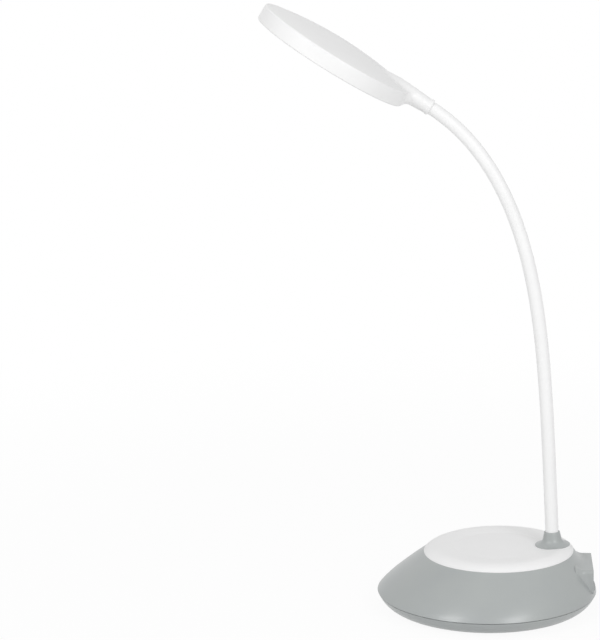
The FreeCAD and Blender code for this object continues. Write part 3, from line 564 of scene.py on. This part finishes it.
def keep_result(source: bpy.types.Object, modifier: bpy.types.Modifier) -> None:
    """Keep a modifier's result as the object's plain mesh and remove the modifier.

    Args:
        source: The object.
        modifier: Its only modifier.
    """
    bpy.context.view_layer.update()
    evaluated = source.evaluated_get(bpy.context.evaluated_depsgraph_get())
    result = bpy.data.meshes.new_from_object(evaluated)
    source.modifiers.remove(modifier)
    source.data = result


def settle(
    source: bpy.types.Object, tree: bpy.types.NodeTree, inputs: dict[str, Any]
) -> None:
    """Run a geometry tree on an object and keep the result as its plain mesh.

    Args:
        source: Object whose mesh is the tree's input.
        tree: The geometry tree.
        inputs: Values by input name.
    """
    modifier = source.modifiers.new(tree.name, "NODES")
    modifier.node_group = tree
    items = tree.interface.items_tree
    identifiers = {item.name: item.identifier for item in items if item.in_out == "INPUT"}
    for label, value in inputs.items():
        modifier[identifiers[label]] = value
    keep_result(source, modifier)


@dataclass
class NeckSleeve:
    """Silicone sleeve over the neck, one curved piece over each joint of the core.

    Each piece runs from the middle of one link to the middle of the next, so that two neighbours
    meet where both follow the same link. Lengths are in metres.
    """

    radius: float = 4.5 * MM
    wall: float = 1.0 * MM
    foot: float = 13.0 * MM
    reach: float = 12.0 * MM
    stiff_end: float = 3.0 * MM
    step: float = 1.2 * MM
    sides: int = 64
    crease_deg: float = 40.0
    joints: list[dict[str, Any]] = field(default_factory=list)

    def chain(self, joints: Sequence[dict[str, Any]]) -> list[dict[str, Any]]:
        """Order the neck's joints from the base to the head.

        Args:
            joints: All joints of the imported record.

        Returns:
            The neck's joints in order.
        """
        neck = [joint for joint in joints if joint["name"].startswith("neck_")]
        by_parent = {joint["parent"]: joint for joint in neck}
        ordered = []
        body = "base"
        while body in by_parent:
            ordered.append(by_parent[body])
            body = by_parent[body]["child"]
        return ordered

    def stations(self) -> list[Vector]:
        """Give the joints' places with one more place beyond each end.

        Returns:
            The places, the first inside the collar and the last inside the nozzle.
        """
        places = [Vector(joint["pos_m"]) for joint in self.joints]
        below = (places[0] - places[1]).normalized()
        bend = (places[-1] - places[-2]).normalized() - (places[-2] - places[-3]).normalized()
        above = ((places[-1] - places[-2]).normalized() + bend).normalized()
        return [places[0] + below * self.foot, *places, places[-1] + above * self.reach]

    def run(self, places: Sequence[Vector], index: int) -> Callable[[float], Vector]:
        """Make the curve between two neighbouring stations.

        Args:
            places: All stations.
            index: The station that the curve starts at.

        Returns:
            A function from 0 to 1 along the curve.
        """
        start = places[index]
        end = places[index + 1]
        before = places[max(index - 1, 0)]
        after = places[min(index + 2, len(places) - 1)]
        span = (end - start).length
        lead = (end - before).normalized() * span
        trail = (after - start).normalized() * span

        def at(share: float) -> Vector:
            """Give the place at a share of the curve.

            Args:
                share: Share of the way, from 0 to 1.

            Returns:
                The place in metres.
            """
            cube = share**3
            square = share**2
            return (
                start * (2 * cube - 3 * square + 1)
                + lead * (cube - 2 * square + share)
                + end * (3 * square - 2 * cube)
                + trail * (cube - square)
            )

        return at

    def line(self, places: Sequence[Vector], joint: int) -> list[Vector]:
        """Give the points of one piece's middle line.

        Args:
            places: All stations.
            joint: Index of the joint that the piece bends over.

        Returns:
            Points from the middle of the link below to the middle of the link above.
        """
        first = joint == 0
        last = joint == len(self.joints) - 1
        points: list[Vector] = []
        below = (joint, 0.0 if first else 0.5, 1.0)
        above = (joint + 1, 0.0, 1.0 if last else 0.5)
        for index, low, high in (below, above):
            curve = self.run(places, index)
            span = (places[index + 1] - places[index]).length * (high - low)
            count = max(round(span / self.step), 2)
            shares = [low + (high - low) * number / count for number in range(count + 1)]
            points += [curve(share) for share in shares[1 if points else 0 :]]
        return points

    def tree(self) -> bpy.types.NodeTree:
        """Build the tree that turns a line into a round tube with a wall.

        Returns:
            The geometry tree.
        """
        inputs = (
            ("Radius", "NodeSocketFloat"),
            ("Wall", "NodeSocketFloat"),
            ("Sides", "NodeSocketInt"),
            ("Material", "NodeSocketMaterial"),
        )
        tree = node_group("sleeve_tube", inputs)
        source = add_node(tree, "NodeGroupInput").outputs
        path = add_node(tree, "GeometryNodeMeshToCurve", links={"Mesh": source["Geometry"]})
        ring = add_node(
            tree,
            "GeometryNodeCurvePrimitiveCircle",
            links={"Radius": source["Radius"], "Resolution": source["Sides"]},
        )
        tube = add_node(
            tree,
            "GeometryNodeCurveToMesh",
            links={"Curve": path.outputs["Curve"], "Profile Curve": ring.outputs["Curve"]},
        )
        inwards = add_node(
            tree, "ShaderNodeMath", {1: -1.0}, {0: source["Wall"]}, operation="MULTIPLY"
        )
        lining = add_node(
            tree,
            "GeometryNodeExtrudeMesh",
            {"Individual": False},
            {"Mesh": tube.outputs["Mesh"], "Offset Scale": inwards.outputs[0]},
        )
        turned_round = add_node(
            tree, "GeometryNodeFlipFaces", links={"Mesh": lining.outputs["Mesh"]}
        )
        both = add_node(tree, "GeometryNodeJoinGeometry")
        for part in (tube, turned_round):
            tree.links.new(part.outputs["Mesh"], both.inputs["Geometry"])
        closed = add_node(
            tree,
            "GeometryNodeMergeByDistance",
            {"Distance": WELD_MM * MM},
            {"Geometry": both.outputs["Geometry"]},
        )
        end_tree(tree, closed.outputs["Geometry"], source["Material"])
        return tree

    def build(self, frame: dict[str, Any], palette: Palette) -> list[bpy.types.Object]:
        """Build the sleeve's pieces.

        Args:
            frame: The loaded frame.
            palette: Materials.

        Returns:
            The pieces, from the collar to the head.
        """
        self.joints = self.chain(frame["joints"])
        places = self.stations()
        tree = self.tree()
        pieces = []
        for index, joint in enumerate(self.joints):
            points = self.line(places, index)
            edges = [(number, number + 1) for number in range(len(points) - 1)]
            piece = mesh_object(f"neck_sleeve_{index:02d}", points, edges, [])
            inputs = {
                "Radius": self.radius,
                "Wall": self.wall,
                "Sides": self.sides,
                "Material": palette.materials[Slot.SLEEVE],
            }
            settle(piece, tree, inputs)
            finish_mesh(piece.data, self.crease_deg)
            pivot = Vector(joint["pos_m"])
            start = points[0]
            end = points[-1]
            if index == 0:
                start = pivot + (start - pivot).normalized() * self.stiff_end
            if index == len(self.joints) - 1:
                end = pivot + (end - pivot).normalized() * self.stiff_end
            tuple(start)
            tuple(end)
            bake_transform(piece)
            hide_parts("neck_sleeve", "led_lead")
            palette.dress_piece(piece, Slot.SLEEVE)
            pieces.append(piece)
        return pieces


@dataclass
class NeckCollar:
    """Collar that the neck stands in: a cone that flares quickly into a thin foot.

    Lengths are in millimetres, apart from the seat.
    """

    seat: Vector = field(default_factory=lambda: Vector((0.0, 45.046, 43.115)) * MM)
    lean_deg: float = 2.5
    foot_radius: float = 11.8
    rim: float = 0.55
    edge: float = 0.2
    top_radius: float = 5.35
    waist_radius: float = 7.1
    lip: float = 0.3
    height: float = 9.6
    bore: float = 4.56
    flare: float = 7.0
    steps: int = 40
    sides: int = 128

    def profile(self) -> list[tuple[float, float]]:
        """Give the collar's section from the foot up its flare and down the bore.

        Returns:
            Radius and height of each corner in millimetres.
        """
        section = [
            (self.foot_radius - self.edge, 0.0),
            (self.foot_radius, self.edge),
            (self.foot_radius, self.rim),
        ]
        rise = self.height - self.lip - self.rim
        for step in range(1, self.steps + 1):
            share = (step / self.steps) ** 2
            cone = self.waist_radius + (self.top_radius - self.waist_radius) * share
            radius = cone + (self.foot_radius - self.waist_radius) * (1 - share) ** self.flare
            section.append((radius, self.rim + rise * share))
        section.append((self.top_radius - self.lip, self.height))
        section.append((self.bore, self.height))
        section.append((self.bore, 0.0))
        return section

    def build(self, palette: Palette) -> bpy.types.Object:
        """Turn the collar and set it in the place of its node.

        Args:
            palette: Materials.

        Returns:
            The collar.
        """
        place = leaning(self.seat, self.lean_deg)
        piece = turned("neck_collar_flare", self.profile(), place, self.sides)
        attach(piece, "base")
        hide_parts("neck_collar")
        palette.dress_piece(piece, Slot.GREY_SHELL)
        return piece


@dataclass
class PortFairing:
    """Soft hollow where the port block's sides and roof run out into the dome.

    Lengths are in millimetres.
    """

    half_width: float = 21.5
    low: float = 15.6
    roof: float = 31.2
    corner: float = 2.0
    corner_parts: int = 8
    face: float = 72.2
    side_reach: float = 5.0
    roof_reach: float = 4.0
    wall_share: float = 0.62
    fade: float = 7.0
    least_share: float = 0.04
    clear: float = 0.15
    feel: float = 3.0
    far_behind: float = 150.0
    sunk: float = 0.5
    passes: int = 24
    arc_steps: int = 12
    step: float = 0.8

    def stations(self) -> list[tuple[Vector, Vector]]:
        """Give places round the block's outline, up one side, over the roof and down the other.

        Returns:
            Each place with the direction out of the block there, in millimetres.
        """
        corner_height = self.roof - self.corner
        corner_place = self.half_width - self.corner
        rows = round((corner_height - self.low) / self.step)
        columns = round(2 * corner_place / self.step)
        heights = [self.low + (corner_height - self.low) * row / rows for row in range(rows)]
        side = [(Vector((-self.half_width, 0, height)), Vector((-1, 0, 0))) for height in heights]
        for part in range(self.corner_parts + 1):
            turn = math.radians(180 - 90 * part / self.corner_parts)
            out = Vector((math.cos(turn), 0, math.sin(turn)))
            side.append((Vector((-corner_place, 0, corner_height)) + out * self.corner, out))
        places = list(side)
        for column in range(1, columns):
            across = -corner_place + 2 * corner_place * column / columns
            places.append((Vector((across, 0, self.roof)), Vector((0, 0, 1))))
        flip = Matrix.Diagonal((-1, 1, 1))
        places += [(flip @ place, flip @ out) for place, out in reversed(side)]
        return places

    def measures(self, place: Vector, out: Vector, dome: Callable[[Vector], float]) -> Vector:
        """Measure the hollow's section at one place.

        Args:
            place: Place on the block's outline.
            out: Direction out of the block.
            dome: Function that gives the dome's depth along Y.

        Returns:
            Depth of the corner, reach up the wall, run along the dome and depth where that run
            ends.
        """
        root = dome(place + out * self.clear)
        slope = (dome(place + out * (self.clear + self.feel)) - root) / self.feel
        reach = self.side_reach + (self.roof_reach - self.side_reach) * max(out.z, 0.0)
        reach = min(reach, self.wall_share * (self.face - root))
        reach *= min(max((place.z - self.low) / self.fade, self.least_share), 1.0)
        run = reach / math.hypot(1.0, slope)
        return Vector((root, reach, run, dome(place + out * run)))

    def smoothed(self, rows: Sequence[Vector]) -> list[Vector]:
        """Even out the measures between neighbours, because the shell's mesh has flat facets.

        Args:
            rows: Measures in the order of the stations.

        Returns:
            The evened measures.
        """
        for _ in range(self.passes):
            inner = [(rows[i - 1] + rows[i] * 2 + rows[i + 1]) / 4 for i in range(1, len(rows) - 1)]
            rows = [rows[0], *inner, rows[-1]]
        return list(rows)

    def section(self, place: Vector, out: Vector, measures: Vector) -> list[Vector]:
        """Give the hollow's closed section at one place.

        Args:
            place: Place on the block's outline.
            out: Direction out of the block.
            measures: Depth of the corner, reach, run and depth at the run's end.

        Returns:
            Points of the section in metres.
        """
        root, reach, run, depth = measures
        ends = (Vector((0, root + reach)), Vector((0, root)), Vector((run, depth)))
        arc = []
        for number in range(self.arc_steps + 1):
            share = number / self.arc_steps
            arc.append(
                ends[0] * (1 - share) ** 2
                + ends[1] * 2 * share * (1 - share)
                + ends[2] * share**2
            )
        corners = [
            Vector((-self.sunk, root + reach)),
            *arc,
            Vector((run, depth - self.sunk)),
            Vector((-self.sunk, root - self.sunk)),
        ]
        return [(place + out * corner.x + Vector((0, corner.y, 0))) * MM for corner in corners]

    def build(self, frame: dict[str, Any], palette: Palette) -> bpy.types.Object:
        """Build the hollow against the base's shell.

        Args:
            frame: The loaded frame.
            palette: Materials.

        Returns:
            The piece.
        """
        shell = frame["nodes"]["base_upper_shell"].data
        tree = BVHTree.FromPolygons(
            [vertex.co for vertex in shell.vertices],
            [tuple(face.vertices) for face in shell.polygons],
        )

        def dome(place: Vector) -> float:
            """Give the depth along Y of the shell's outside, in millimetres."""
            start = Vector((place.x, self.far_behind, place.z)) * MM
            return tree.ray_cast(start, Vector((0, -1, 0)))[0].y / MM

        stations = self.stations()
        rows = self.smoothed([self.measures(place, out, dome) for place, out in stations])
        rings = [self.section(place, out, row) for (place, out), row in zip(stations, rows)]
        piece = skin("port_block_fairing", rings)
        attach(piece, "base")
        palette.dress_piece(piece, Slot.GREY_SHELL)
        return piece


@dataclass
class SocketCore:
    """Black insulator at the bottom of the charging socket's mouth, in millimetres."""

    wall: float = 0.38
    depth: float = 1.3
    length: float = 2.6
    corner: float = 0.85
    chamfer: float = 0.15

    def build(self, palette: Palette) -> bpy.types.Object:
        """Fit the insulator into the socket.

        Args:
            palette: Materials.

        Returns:
            The insulator.
        """
        low, high = (Vector(corner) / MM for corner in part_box("usb_socket"))
        front = high.y - self.depth
        rings = []
        for depth, inset in ((0.0, self.chamfer), (self.chamfer, 0.0), (self.length, 0.0)):
            left = low.x + self.wall + inset
            right = high.x - self.wall - inset
            foot = low.z + self.wall + inset
            top = high.z - self.wall - inset
            outline = (
                (left + self.corner, foot),
                (right - self.corner, foot),
                (right, foot + self.corner),
                (right, top),
                (left, top),
                (left, foot + self.corner),
            )
            rings.append([Vector((x, front - depth, z)) * MM for x, z in outline])
        piece = skin("usb_socket_core", rings)
        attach(piece, "base")
        palette.dress_piece(piece, Slot.BLACK)
        return piece


@dataclass
class CoverScrews:
    """Cross-head screws that hold the bottom cover, in millimetres."""

    ring: float = 55.0
    count: int = 4
    first_deg: float = 45.0
    face: float = 0.8
    head_radius: float = 2.6
    head_height: float = 1.6
    crown: float = 0.5
    shank_radius: float = 1.25
    shank_length: float = 14.0
    tip_radius: float = 0.3
    pole_radius: float = 0.02
    crown_parts: int = 8
    slot_width: float = 0.55
    slot_reach: float = 1.5
    slot_depth: float = 1.0
    slot_start: float = -0.4
    mouth_scale: float = 1.1
    bottom_scale: float = 0.55
    sides: int = 48
    weld: float = 0.004

    def cross(self) -> bpy.types.Object:
        """Make the tapered cross that cuts the driver's recess.

        Returns:
            The cutter.
        """
        rings = []
        mouth = (self.slot_start, self.mouth_scale)
        bottom = (self.slot_depth, self.bottom_scale)
        for height, scale in (mouth, bottom):
            near = self.slot_width / 2 * scale
            far = self.slot_reach * scale
            arm = ((far, -near), (far, near), (near, near))
            ring = []
            for quarter in range(4):
                turn = Matrix.Rotation(math.pi / 2 * quarter, 3, "Z")
                ring += [turn @ Vector((x, y, self.face + height)) * MM for x, y in arm]
            rings.append(ring)
        return skin("driver_recess", rings)

    def blank(self) -> bpy.types.Object:
        """Turn one screw on the origin with its head down.

        Returns:
            The screw with its recess cut.
        """
        crown = self.face + self.crown
        seat = self.face + self.head_height
        profile = [(self.pole_radius, self.face)]
        for part in range(1, self.crown_parts + 1):
            turn = math.pi / 2 * part / self.crown_parts
            profile.append((self.head_radius * math.sin(turn), crown - self.crown * math.cos(turn)))
        profile += [(self.head_radius, seat), (self.shank_radius, seat)]
        end = seat + self.shank_length
        profile.append((self.shank_radius, end - self.shank_radius))
        profile += [(self.tip_radius, end), (self.pole_radius, end)]
        turns = [2 * math.pi * step / self.sides for step in range(self.sides)]
        rings = []
        for radius, height in profile:
            ring = [Vector((radius * math.cos(t), radius * math.sin(t), height)) for t in turns]
            rings.append([point * MM for point in ring])
        screw = skin("screw_blank", rings)
        cutter = self.cross()
        cut = screw.modifiers.new("recess", "BOOLEAN")
        cut.operation = "DIFFERENCE"
        cut.solver = "EXACT"
        cut.object = cutter
        keep_result(screw, cut)
        finish_mesh(screw.data, weld_mm=self.weld)
        bpy.data.objects.remove(cutter)
        return screw

    def tree(self, screw: bpy.types.Object) -> bpy.types.NodeTree:
        """Build the tree that sets the screw on a ring of points.

        Args:
            screw: The screw to repeat.

        Returns:
            The geometry tree.
        """
        inputs = (
            ("Ring", "NodeSocketFloat"),
            ("Count", "NodeSocketInt"),
            ("First", "NodeSocketFloat"),
            ("Material", "NodeSocketMaterial"),
        )
        tree = node_group("screw_ring", inputs)
        source = add_node(tree, "NodeGroupInput").outputs
        ring = add_node(
            tree,
            "GeometryNodeCurvePrimitiveCircle",
            links={"Radius": source["Ring"], "Resolution": source["Count"]},
        )
        turn = add_node(tree, "ShaderNodeCombineXYZ", links={"Z": source["First"]})
        turned_ring = add_node(
            tree,
            "GeometryNodeTransform",
            links={"Geometry": ring.outputs["Curve"], "Rotation": turn.outputs[0]},
        )
        points = add_node(
            tree,
            "GeometryNodeCurveToPoints",
            links={"Curve": turned_ring.outputs[0]},
            mode="EVALUATED",
        )
        shape = add_node(tree, "GeometryNodeObjectInfo", {"Object": screw})
        set_out = add_node(
            tree,
            "GeometryNodeInstanceOnPoints",
            links={"Points": points.outputs["Points"], "Instance": shape.outputs["Geometry"]},
        )
        end_tree(tree, set_out.outputs["Instances"], source["Material"])
        return tree

    def build(self, palette: Palette) -> bpy.types.Object:
        """Set the screws in the cover.

        Args:
            palette: Materials.

        Returns:
            The screws as one piece.
        """
        screw = self.blank()
        piece = mesh_object("cover_screw_set", [Vector((0, 0, 0))], [], [])
        inputs = {
            "Ring": self.ring * MM,
            "Count": self.count,
            "First": math.radians(self.first_deg),
            "Material": palette.materials[Slot.STEEL],
        }
        settle(piece, self.tree(screw), inputs)
        bpy.data.objects.remove(screw)
        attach(piece, "base")
        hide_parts("cover_screws")
        palette.dress_piece(piece, Slot.STEEL)
        return piece


@dataclass
class NozzleFairing:
    """Soft run-out where the nozzle leaves the head's back and band.

    Lengths are in millimetres in the head's own frame, apart from the head's centre.
    """

    centre: Vector = field(default_factory=lambda: Vector((0.0, -98.423, 382.347)) * MM)
    lean_deg: float = -32.4
    head_radius: float = 55.5
    dome_edge: float = 54.1
    dome_rise: float = 5.5
    band_above: float = 1.4
    lowest: float = -8.6
    root_radius: float = 6.2
    root_end: float = 51.9
    end_radius: float = 5.2
    end: float = 70.7
    start: float = 32.0
    nose: float = 16.0
    stop: float = 66.0
    blend: float = 5.0
    proud: float = 0.04
    sunk: float = 0.25
    most: float = 14.0
    half_width: float = 12.0
    depth: float = 1.2
    rim_row: float = 54.4
    inside_share: float = 0.999
    halvings: int = 24
    sides: int = 96
    step: float = 0.6
    crease_deg: float = 50.0

    def nozzle_radius(self, along: float) -> float:
        """Give the nozzle's radius, which grows from nothing at its nose and tapers past its root.

        Args:
            along: Distance from the head's centre along the nozzle's axis.

        Returns:
            The radius.
        """
        if along < self.root_end:
            share = min(max((along - self.start) / self.nose, 0.0), 1.0)
            return self.root_radius * math.sqrt(1 - (1 - share) ** 2)
        share = (along - self.root_end) / (self.end - self.root_end)
        return self.root_radius + (self.end_radius - self.root_radius) * share

    def cap(self, across: float, along: float) -> float:
        """Give the height of the head's domed back.

        Args:
            across: Place along the head's X.
            along: Place along the nozzle's axis.

        Returns:
            The height along the head's axis.
        """
        sphere = (self.dome_edge**2 + self.dome_rise**2) / (2 * self.dome_rise)
        drop = math.sqrt(sphere**2 - across**2 - along**2)
        return self.band_above + self.dome_rise - sphere + drop

    def outside(self, across: float, along: float, height: float) -> float:
        """Give the distance from the blended outside of head and nozzle.

        Args:
            across: Place along the head's X in millimetres.
            along: Place along the nozzle's axis.
            height: Place along the head's axis.

        Returns:
            The distance in millimetres, below 0 inside.
        """
        rim = math.hypot(across, along) - self.head_radius
        head = max(rim, height - self.cap(across, along), self.lowest - height)
        nozzle = math.hypot(across, height) - self.nozzle_radius(along)
        share = max(self.blend - abs(head - nozzle), 0.0) / self.blend
        return min(head, nozzle) - share**2 * self.blend / 4

    def reach(self, start: Vector, out: Vector) -> float:
        """Find how far the blended outside is from a place inside it.

        Args:
            start: Place inside, in the head's frame in millimetres.
            out: Direction to look in.

        Returns:
            The distance in millimetres, no more than the piece's greatest reach.
        """
        near = 0.0
        far = self.most
        for _ in range(self.halvings):
            middle = (near + far) / 2
            if self.outside(*(start + out * middle)) < 0:
                near = middle
            else:
                far = middle
        return far

    def ring(self, along: float, lift: float) -> list[Vector]:
        """Give the section at one place along the nozzle's axis.

        Over the head's back it is a strip that sinks into the wall, and past the rim it goes all
        round.

        Args:
            along: Place along the axis in millimetres.
            lift: How far the outside is raised.

        Returns:
            Points in the head's frame in millimetres.
        """
        over_back = along < self.rim_row
        up = Vector((0, 0, 1))
        side_way = Vector((1, 0, 0))
        width = self.half_width
        if not over_back:
            width = self.reach(Vector((0, along, 0)), side_way) * self.inside_share
        points = []
        for side in range(self.sides):
            turn = 2 * math.pi * side / self.sides
            across = width * math.cos(turn)
            level = self.cap(across, along) - self.depth if over_back else 0.0
            floor = Vector((across, along, level))
            if turn <= math.pi:
                height = self.reach(floor, up) + lift
            else:
                height = 0.0 if over_back else -self.reach(floor, -up) - lift
            points.append(floor + up * height + side_way * lift * math.cos(turn))
        return points

    def build(self, palette: Palette) -> bpy.types.Object:
        """Build the run-out round the nozzle's root.

        Args:
            palette: Materials.

        Returns:
            The piece.
        """
        place = leaning(self.centre, self.lean_deg)
        rows = round((self.stop - self.start) / self.step)
        rings = []
        for row in range(rows + 1):
            along = self.start + (self.stop - self.start) * row / rows
            lift = self.proud if 0 < row < rows else -self.sunk
            rings.append([place @ (point * MM) for point in self.ring(along, lift)])
        piece = skin("nozzle_fairing", rings, crease_deg=self.crease_deg)
        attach(piece, "head")
        palette.dress_piece(piece, Slot.WHITE_PLASTIC)
        return piece


class Frame:
    """CAD nodes that stay as they are and only get their finishes."""

    def dress(self, frame: dict[str, Any], palette: Palette) -> int:
        """Give each node the finish of its slot in the record.

        Args:
            frame: The loaded frame.
            palette: Materials.

        Returns:
            The number of nodes that were dressed.
        """
        slots = {part["node"]: Slot(part["material_slot"]) for part in frame["record"]["subparts"]}
        for name, node in frame["nodes"].items():
            palette.dress_node(node, palette.materials[slots[name]])
        # The charging socket takes the tin plate painted dark with shade instead of its slot's
        # bright nickel.
        palette.dress_node(frame["nodes"]["usb_socket"], palette.socket)
        return len(slots)


@dataclass(frozen=True)
class Softbox:
    """One square lamp of the studio, in metres and watts."""

    kind: Light
    place: tuple[float, float, float]
    side: float
    power: float


SOFTBOXES = (
    Softbox(Light.LEFT, (1.2, -1.08, 1.35), side=0.65, power=9.7),
    Softbox(Light.RIGHT, (1.4, 0.82, 0.85), side=0.65, power=8.8),
    Softbox(Light.TOP, (0.0, 0.0, 2.0), side=1.2, power=1.0),
)


@dataclass
class Studio:
    """Floor, light and camera, in metres and in pixels of the photograph's frame."""

    eye: Vector = field(default_factory=lambda: Vector((1470.3, 0.0, 497.0)) * MM)
    yaw_deg: float = 4.895
    pitch_deg: float = 11.379
    roll_deg: float = -0.962
    sensor_mm: float = 36.0
    focal_px: float = 2221.96
    image_height_px: float = 640.0
    view_depth: float = 50.0
    aim: Vector = field(default_factory=lambda: Vector((0.0, 0.0, 0.18)))
    paper: str = "F4F4F4"
    floor_half: float = 6.0
    floor_drop: float = 0.0002
    fill_strength: float = 0.58
    floor_share: float = 0.93
    floor_fade_start: float = 0.25
    floor_fade_end: float = 0.9

    def camera(self) -> bpy.types.Object:
        """Set up the camera at the photograph's view.

        Returns:
            The camera object.
        """
        data = bpy.data.cameras.new("view_camera")
        data.sensor_fit = "VERTICAL"
        data.sensor_height = self.sensor_mm
        data.lens = self.focal_px * self.sensor_mm / self.image_height_px
        data.clip_end = self.view_depth
        made = bpy.data.objects.new("view_camera", data)
        yaw = math.radians(self.yaw_deg)
        pitch = math.radians(self.pitch_deg)
        roll = math.radians(self.roll_deg)
        level = math.cos(pitch)
        ahead = Vector((-level * math.cos(yaw), -level * math.sin(yaw), -math.sin(pitch)))
        right = ahead.cross(Vector((0, 0, 1))).normalized()
        up = right.cross(ahead)
        turned_right = right * math.cos(roll) + up * math.sin(roll)
        turned_up = up * math.cos(roll) - right * math.sin(roll)
        axes = Matrix((turned_right, turned_up, -ahead)).transposed()
        made.matrix_world = Matrix.Translation(self.eye) @ axes.to_4x4()
        bpy.context.scene.collection.objects.link(made)
        bpy.context.scene.camera = made
        return made

    def direct_view(self, tree: bpy.types.NodeTree) -> bpy.types.NodeSocket:
        """Tell rays that show the background from rays that carry light.

        Args:
            tree: Tree of the world or the floor.

        Returns:
            A socket that is 1 for camera, glossy and transmission rays.
        """
        path = add_node(tree, "ShaderNodeLightPath").outputs
        seen = add_node(
            tree,
            "ShaderNodeMath",
            links={0: path["Is Camera Ray"], 1: path["Is Glossy Ray"]},
            operation="MAXIMUM",
        )
        return add_node(
            tree,
            "ShaderNodeMath",
            links={0: seen.outputs[0], 1: path["Is Transmission Ray"]},
            operation="MAXIMUM",
        ).outputs[0]

    def world(self) -> None:
        """Light the scene evenly, with a white background."""
        world = bpy.data.worlds.new("studio_world")
        bpy.context.scene.world = world
        world.use_nodes = True
        tree = world.node_tree
        tree.nodes.clear()
        fill = add_node(
            tree, "ShaderNodeBackground", {"Color": WHITE, "Strength": self.fill_strength}
        )
        shown = add_node(tree, "ShaderNodeBackground", {"Color": WHITE, "Strength": 1.0})
        mix = add_node(
            tree,
            "ShaderNodeMixShader",
            links={0: self.direct_view(tree), 1: fill.outputs[0], 2: shown.outputs[0]},
        )
        add_node(tree, "ShaderNodeOutputWorld", links={"Surface": mix.outputs[0]})

    def floor(self) -> bpy.types.Object:
        """Lay a white floor that keeps a faint shadow.

        Returns:
            The floor.
        """
        half = self.floor_half
        outline = ((-half, -half), (half, -half), (half, half), (-half, half))
        corners = [Vector((x, y, -self.floor_drop)) for x, y in outline]
        made = mesh_object("floor", corners, [], [(0, 1, 2, 3)])
        material = bpy.data.materials.new("white_paper_sweep")
        material.use_nodes = True
        tree = material.node_tree
        tree.nodes.clear()
        paper = add_node(tree, "ShaderNodeBsdfDiffuse", {"Color": linear(self.paper)})
        glow = add_node(tree, "ShaderNodeEmission", {"Color": WHITE, "Strength": 1.0})
        place = add_node(tree, "ShaderNodeTexCoord").outputs["Object"]
        distance = add_node(tree, "ShaderNodeVectorMath", links={0: place}, operation="LENGTH")
        fade = add_node(
            tree,
            "ShaderNodeMapRange",
            {
                "From Min": self.floor_fade_start,
                "From Max": self.floor_fade_end,
                "To Min": self.floor_share,
                "To Max": 1.0,
            },
            {"Value": distance.outputs["Value"]},
            interpolation_type="SMOOTHSTEP",
        )
        share = add_node(
            tree,
            "ShaderNodeMath",
            links={0: self.direct_view(tree), 1: fade.outputs["Result"]},
            operation="MULTIPLY",
        )
        mix = add_node(
            tree,
            "ShaderNodeMixShader",
            links={0: share.outputs[0], 1: paper.outputs[0], 2: glow.outputs[0]},
        )
        add_node(tree, "ShaderNodeOutputMaterial", links={"Surface": mix.outputs[0]})
        made.data.materials.append(material)
        return made

    def hang(self, box: Softbox) -> bpy.types.Object:
        """Hang one softbox so that it faces the lamp.

        Args:
            box: The softbox.

        Returns:
            Its light.
        """
        data = bpy.data.lights.new(box.kind.value, "AREA")
        data.shape = "SQUARE"
        data.size = box.side
        data.energy = box.power
        made = bpy.data.objects.new(box.kind.value, data)
        place = Vector(box.place)
        made.rotation_mode = "QUATERNION"
        made.rotation_quaternion = (self.aim - place).to_track_quat("-Z", "Y")
        made.location = place
        bpy.context.scene.collection.objects.link(made)
        return made

    def build(self) -> None:
        """Build the whole studio."""
        self.camera()
        self.world()
        self.floor()
        for box in SOFTBOXES:
            self.hang(box)
        bpy.context.scene.view_settings.view_transform = "Standard"


def main() -> None:
    """Build the lamp's looks and the studio."""
    logging.basicConfig(level=logging.INFO, format="%(message)s")
    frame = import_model()
    palette = Palette()
    LOG.info("nodes dressed: %d", Frame().dress(frame, palette))
    pieces = [
        *NeckSleeve().build(frame, palette),
        NeckCollar().build(palette),
        PortFairing().build(frame, palette),
        SocketCore().build(palette),
        CoverScrews().build(palette),
        NozzleFairing().build(palette),
    ]
    for piece in pieces:
        LOG.info("piece: %s", piece.name)
    Studio().build()


if __name__ == "__main__":
    main()
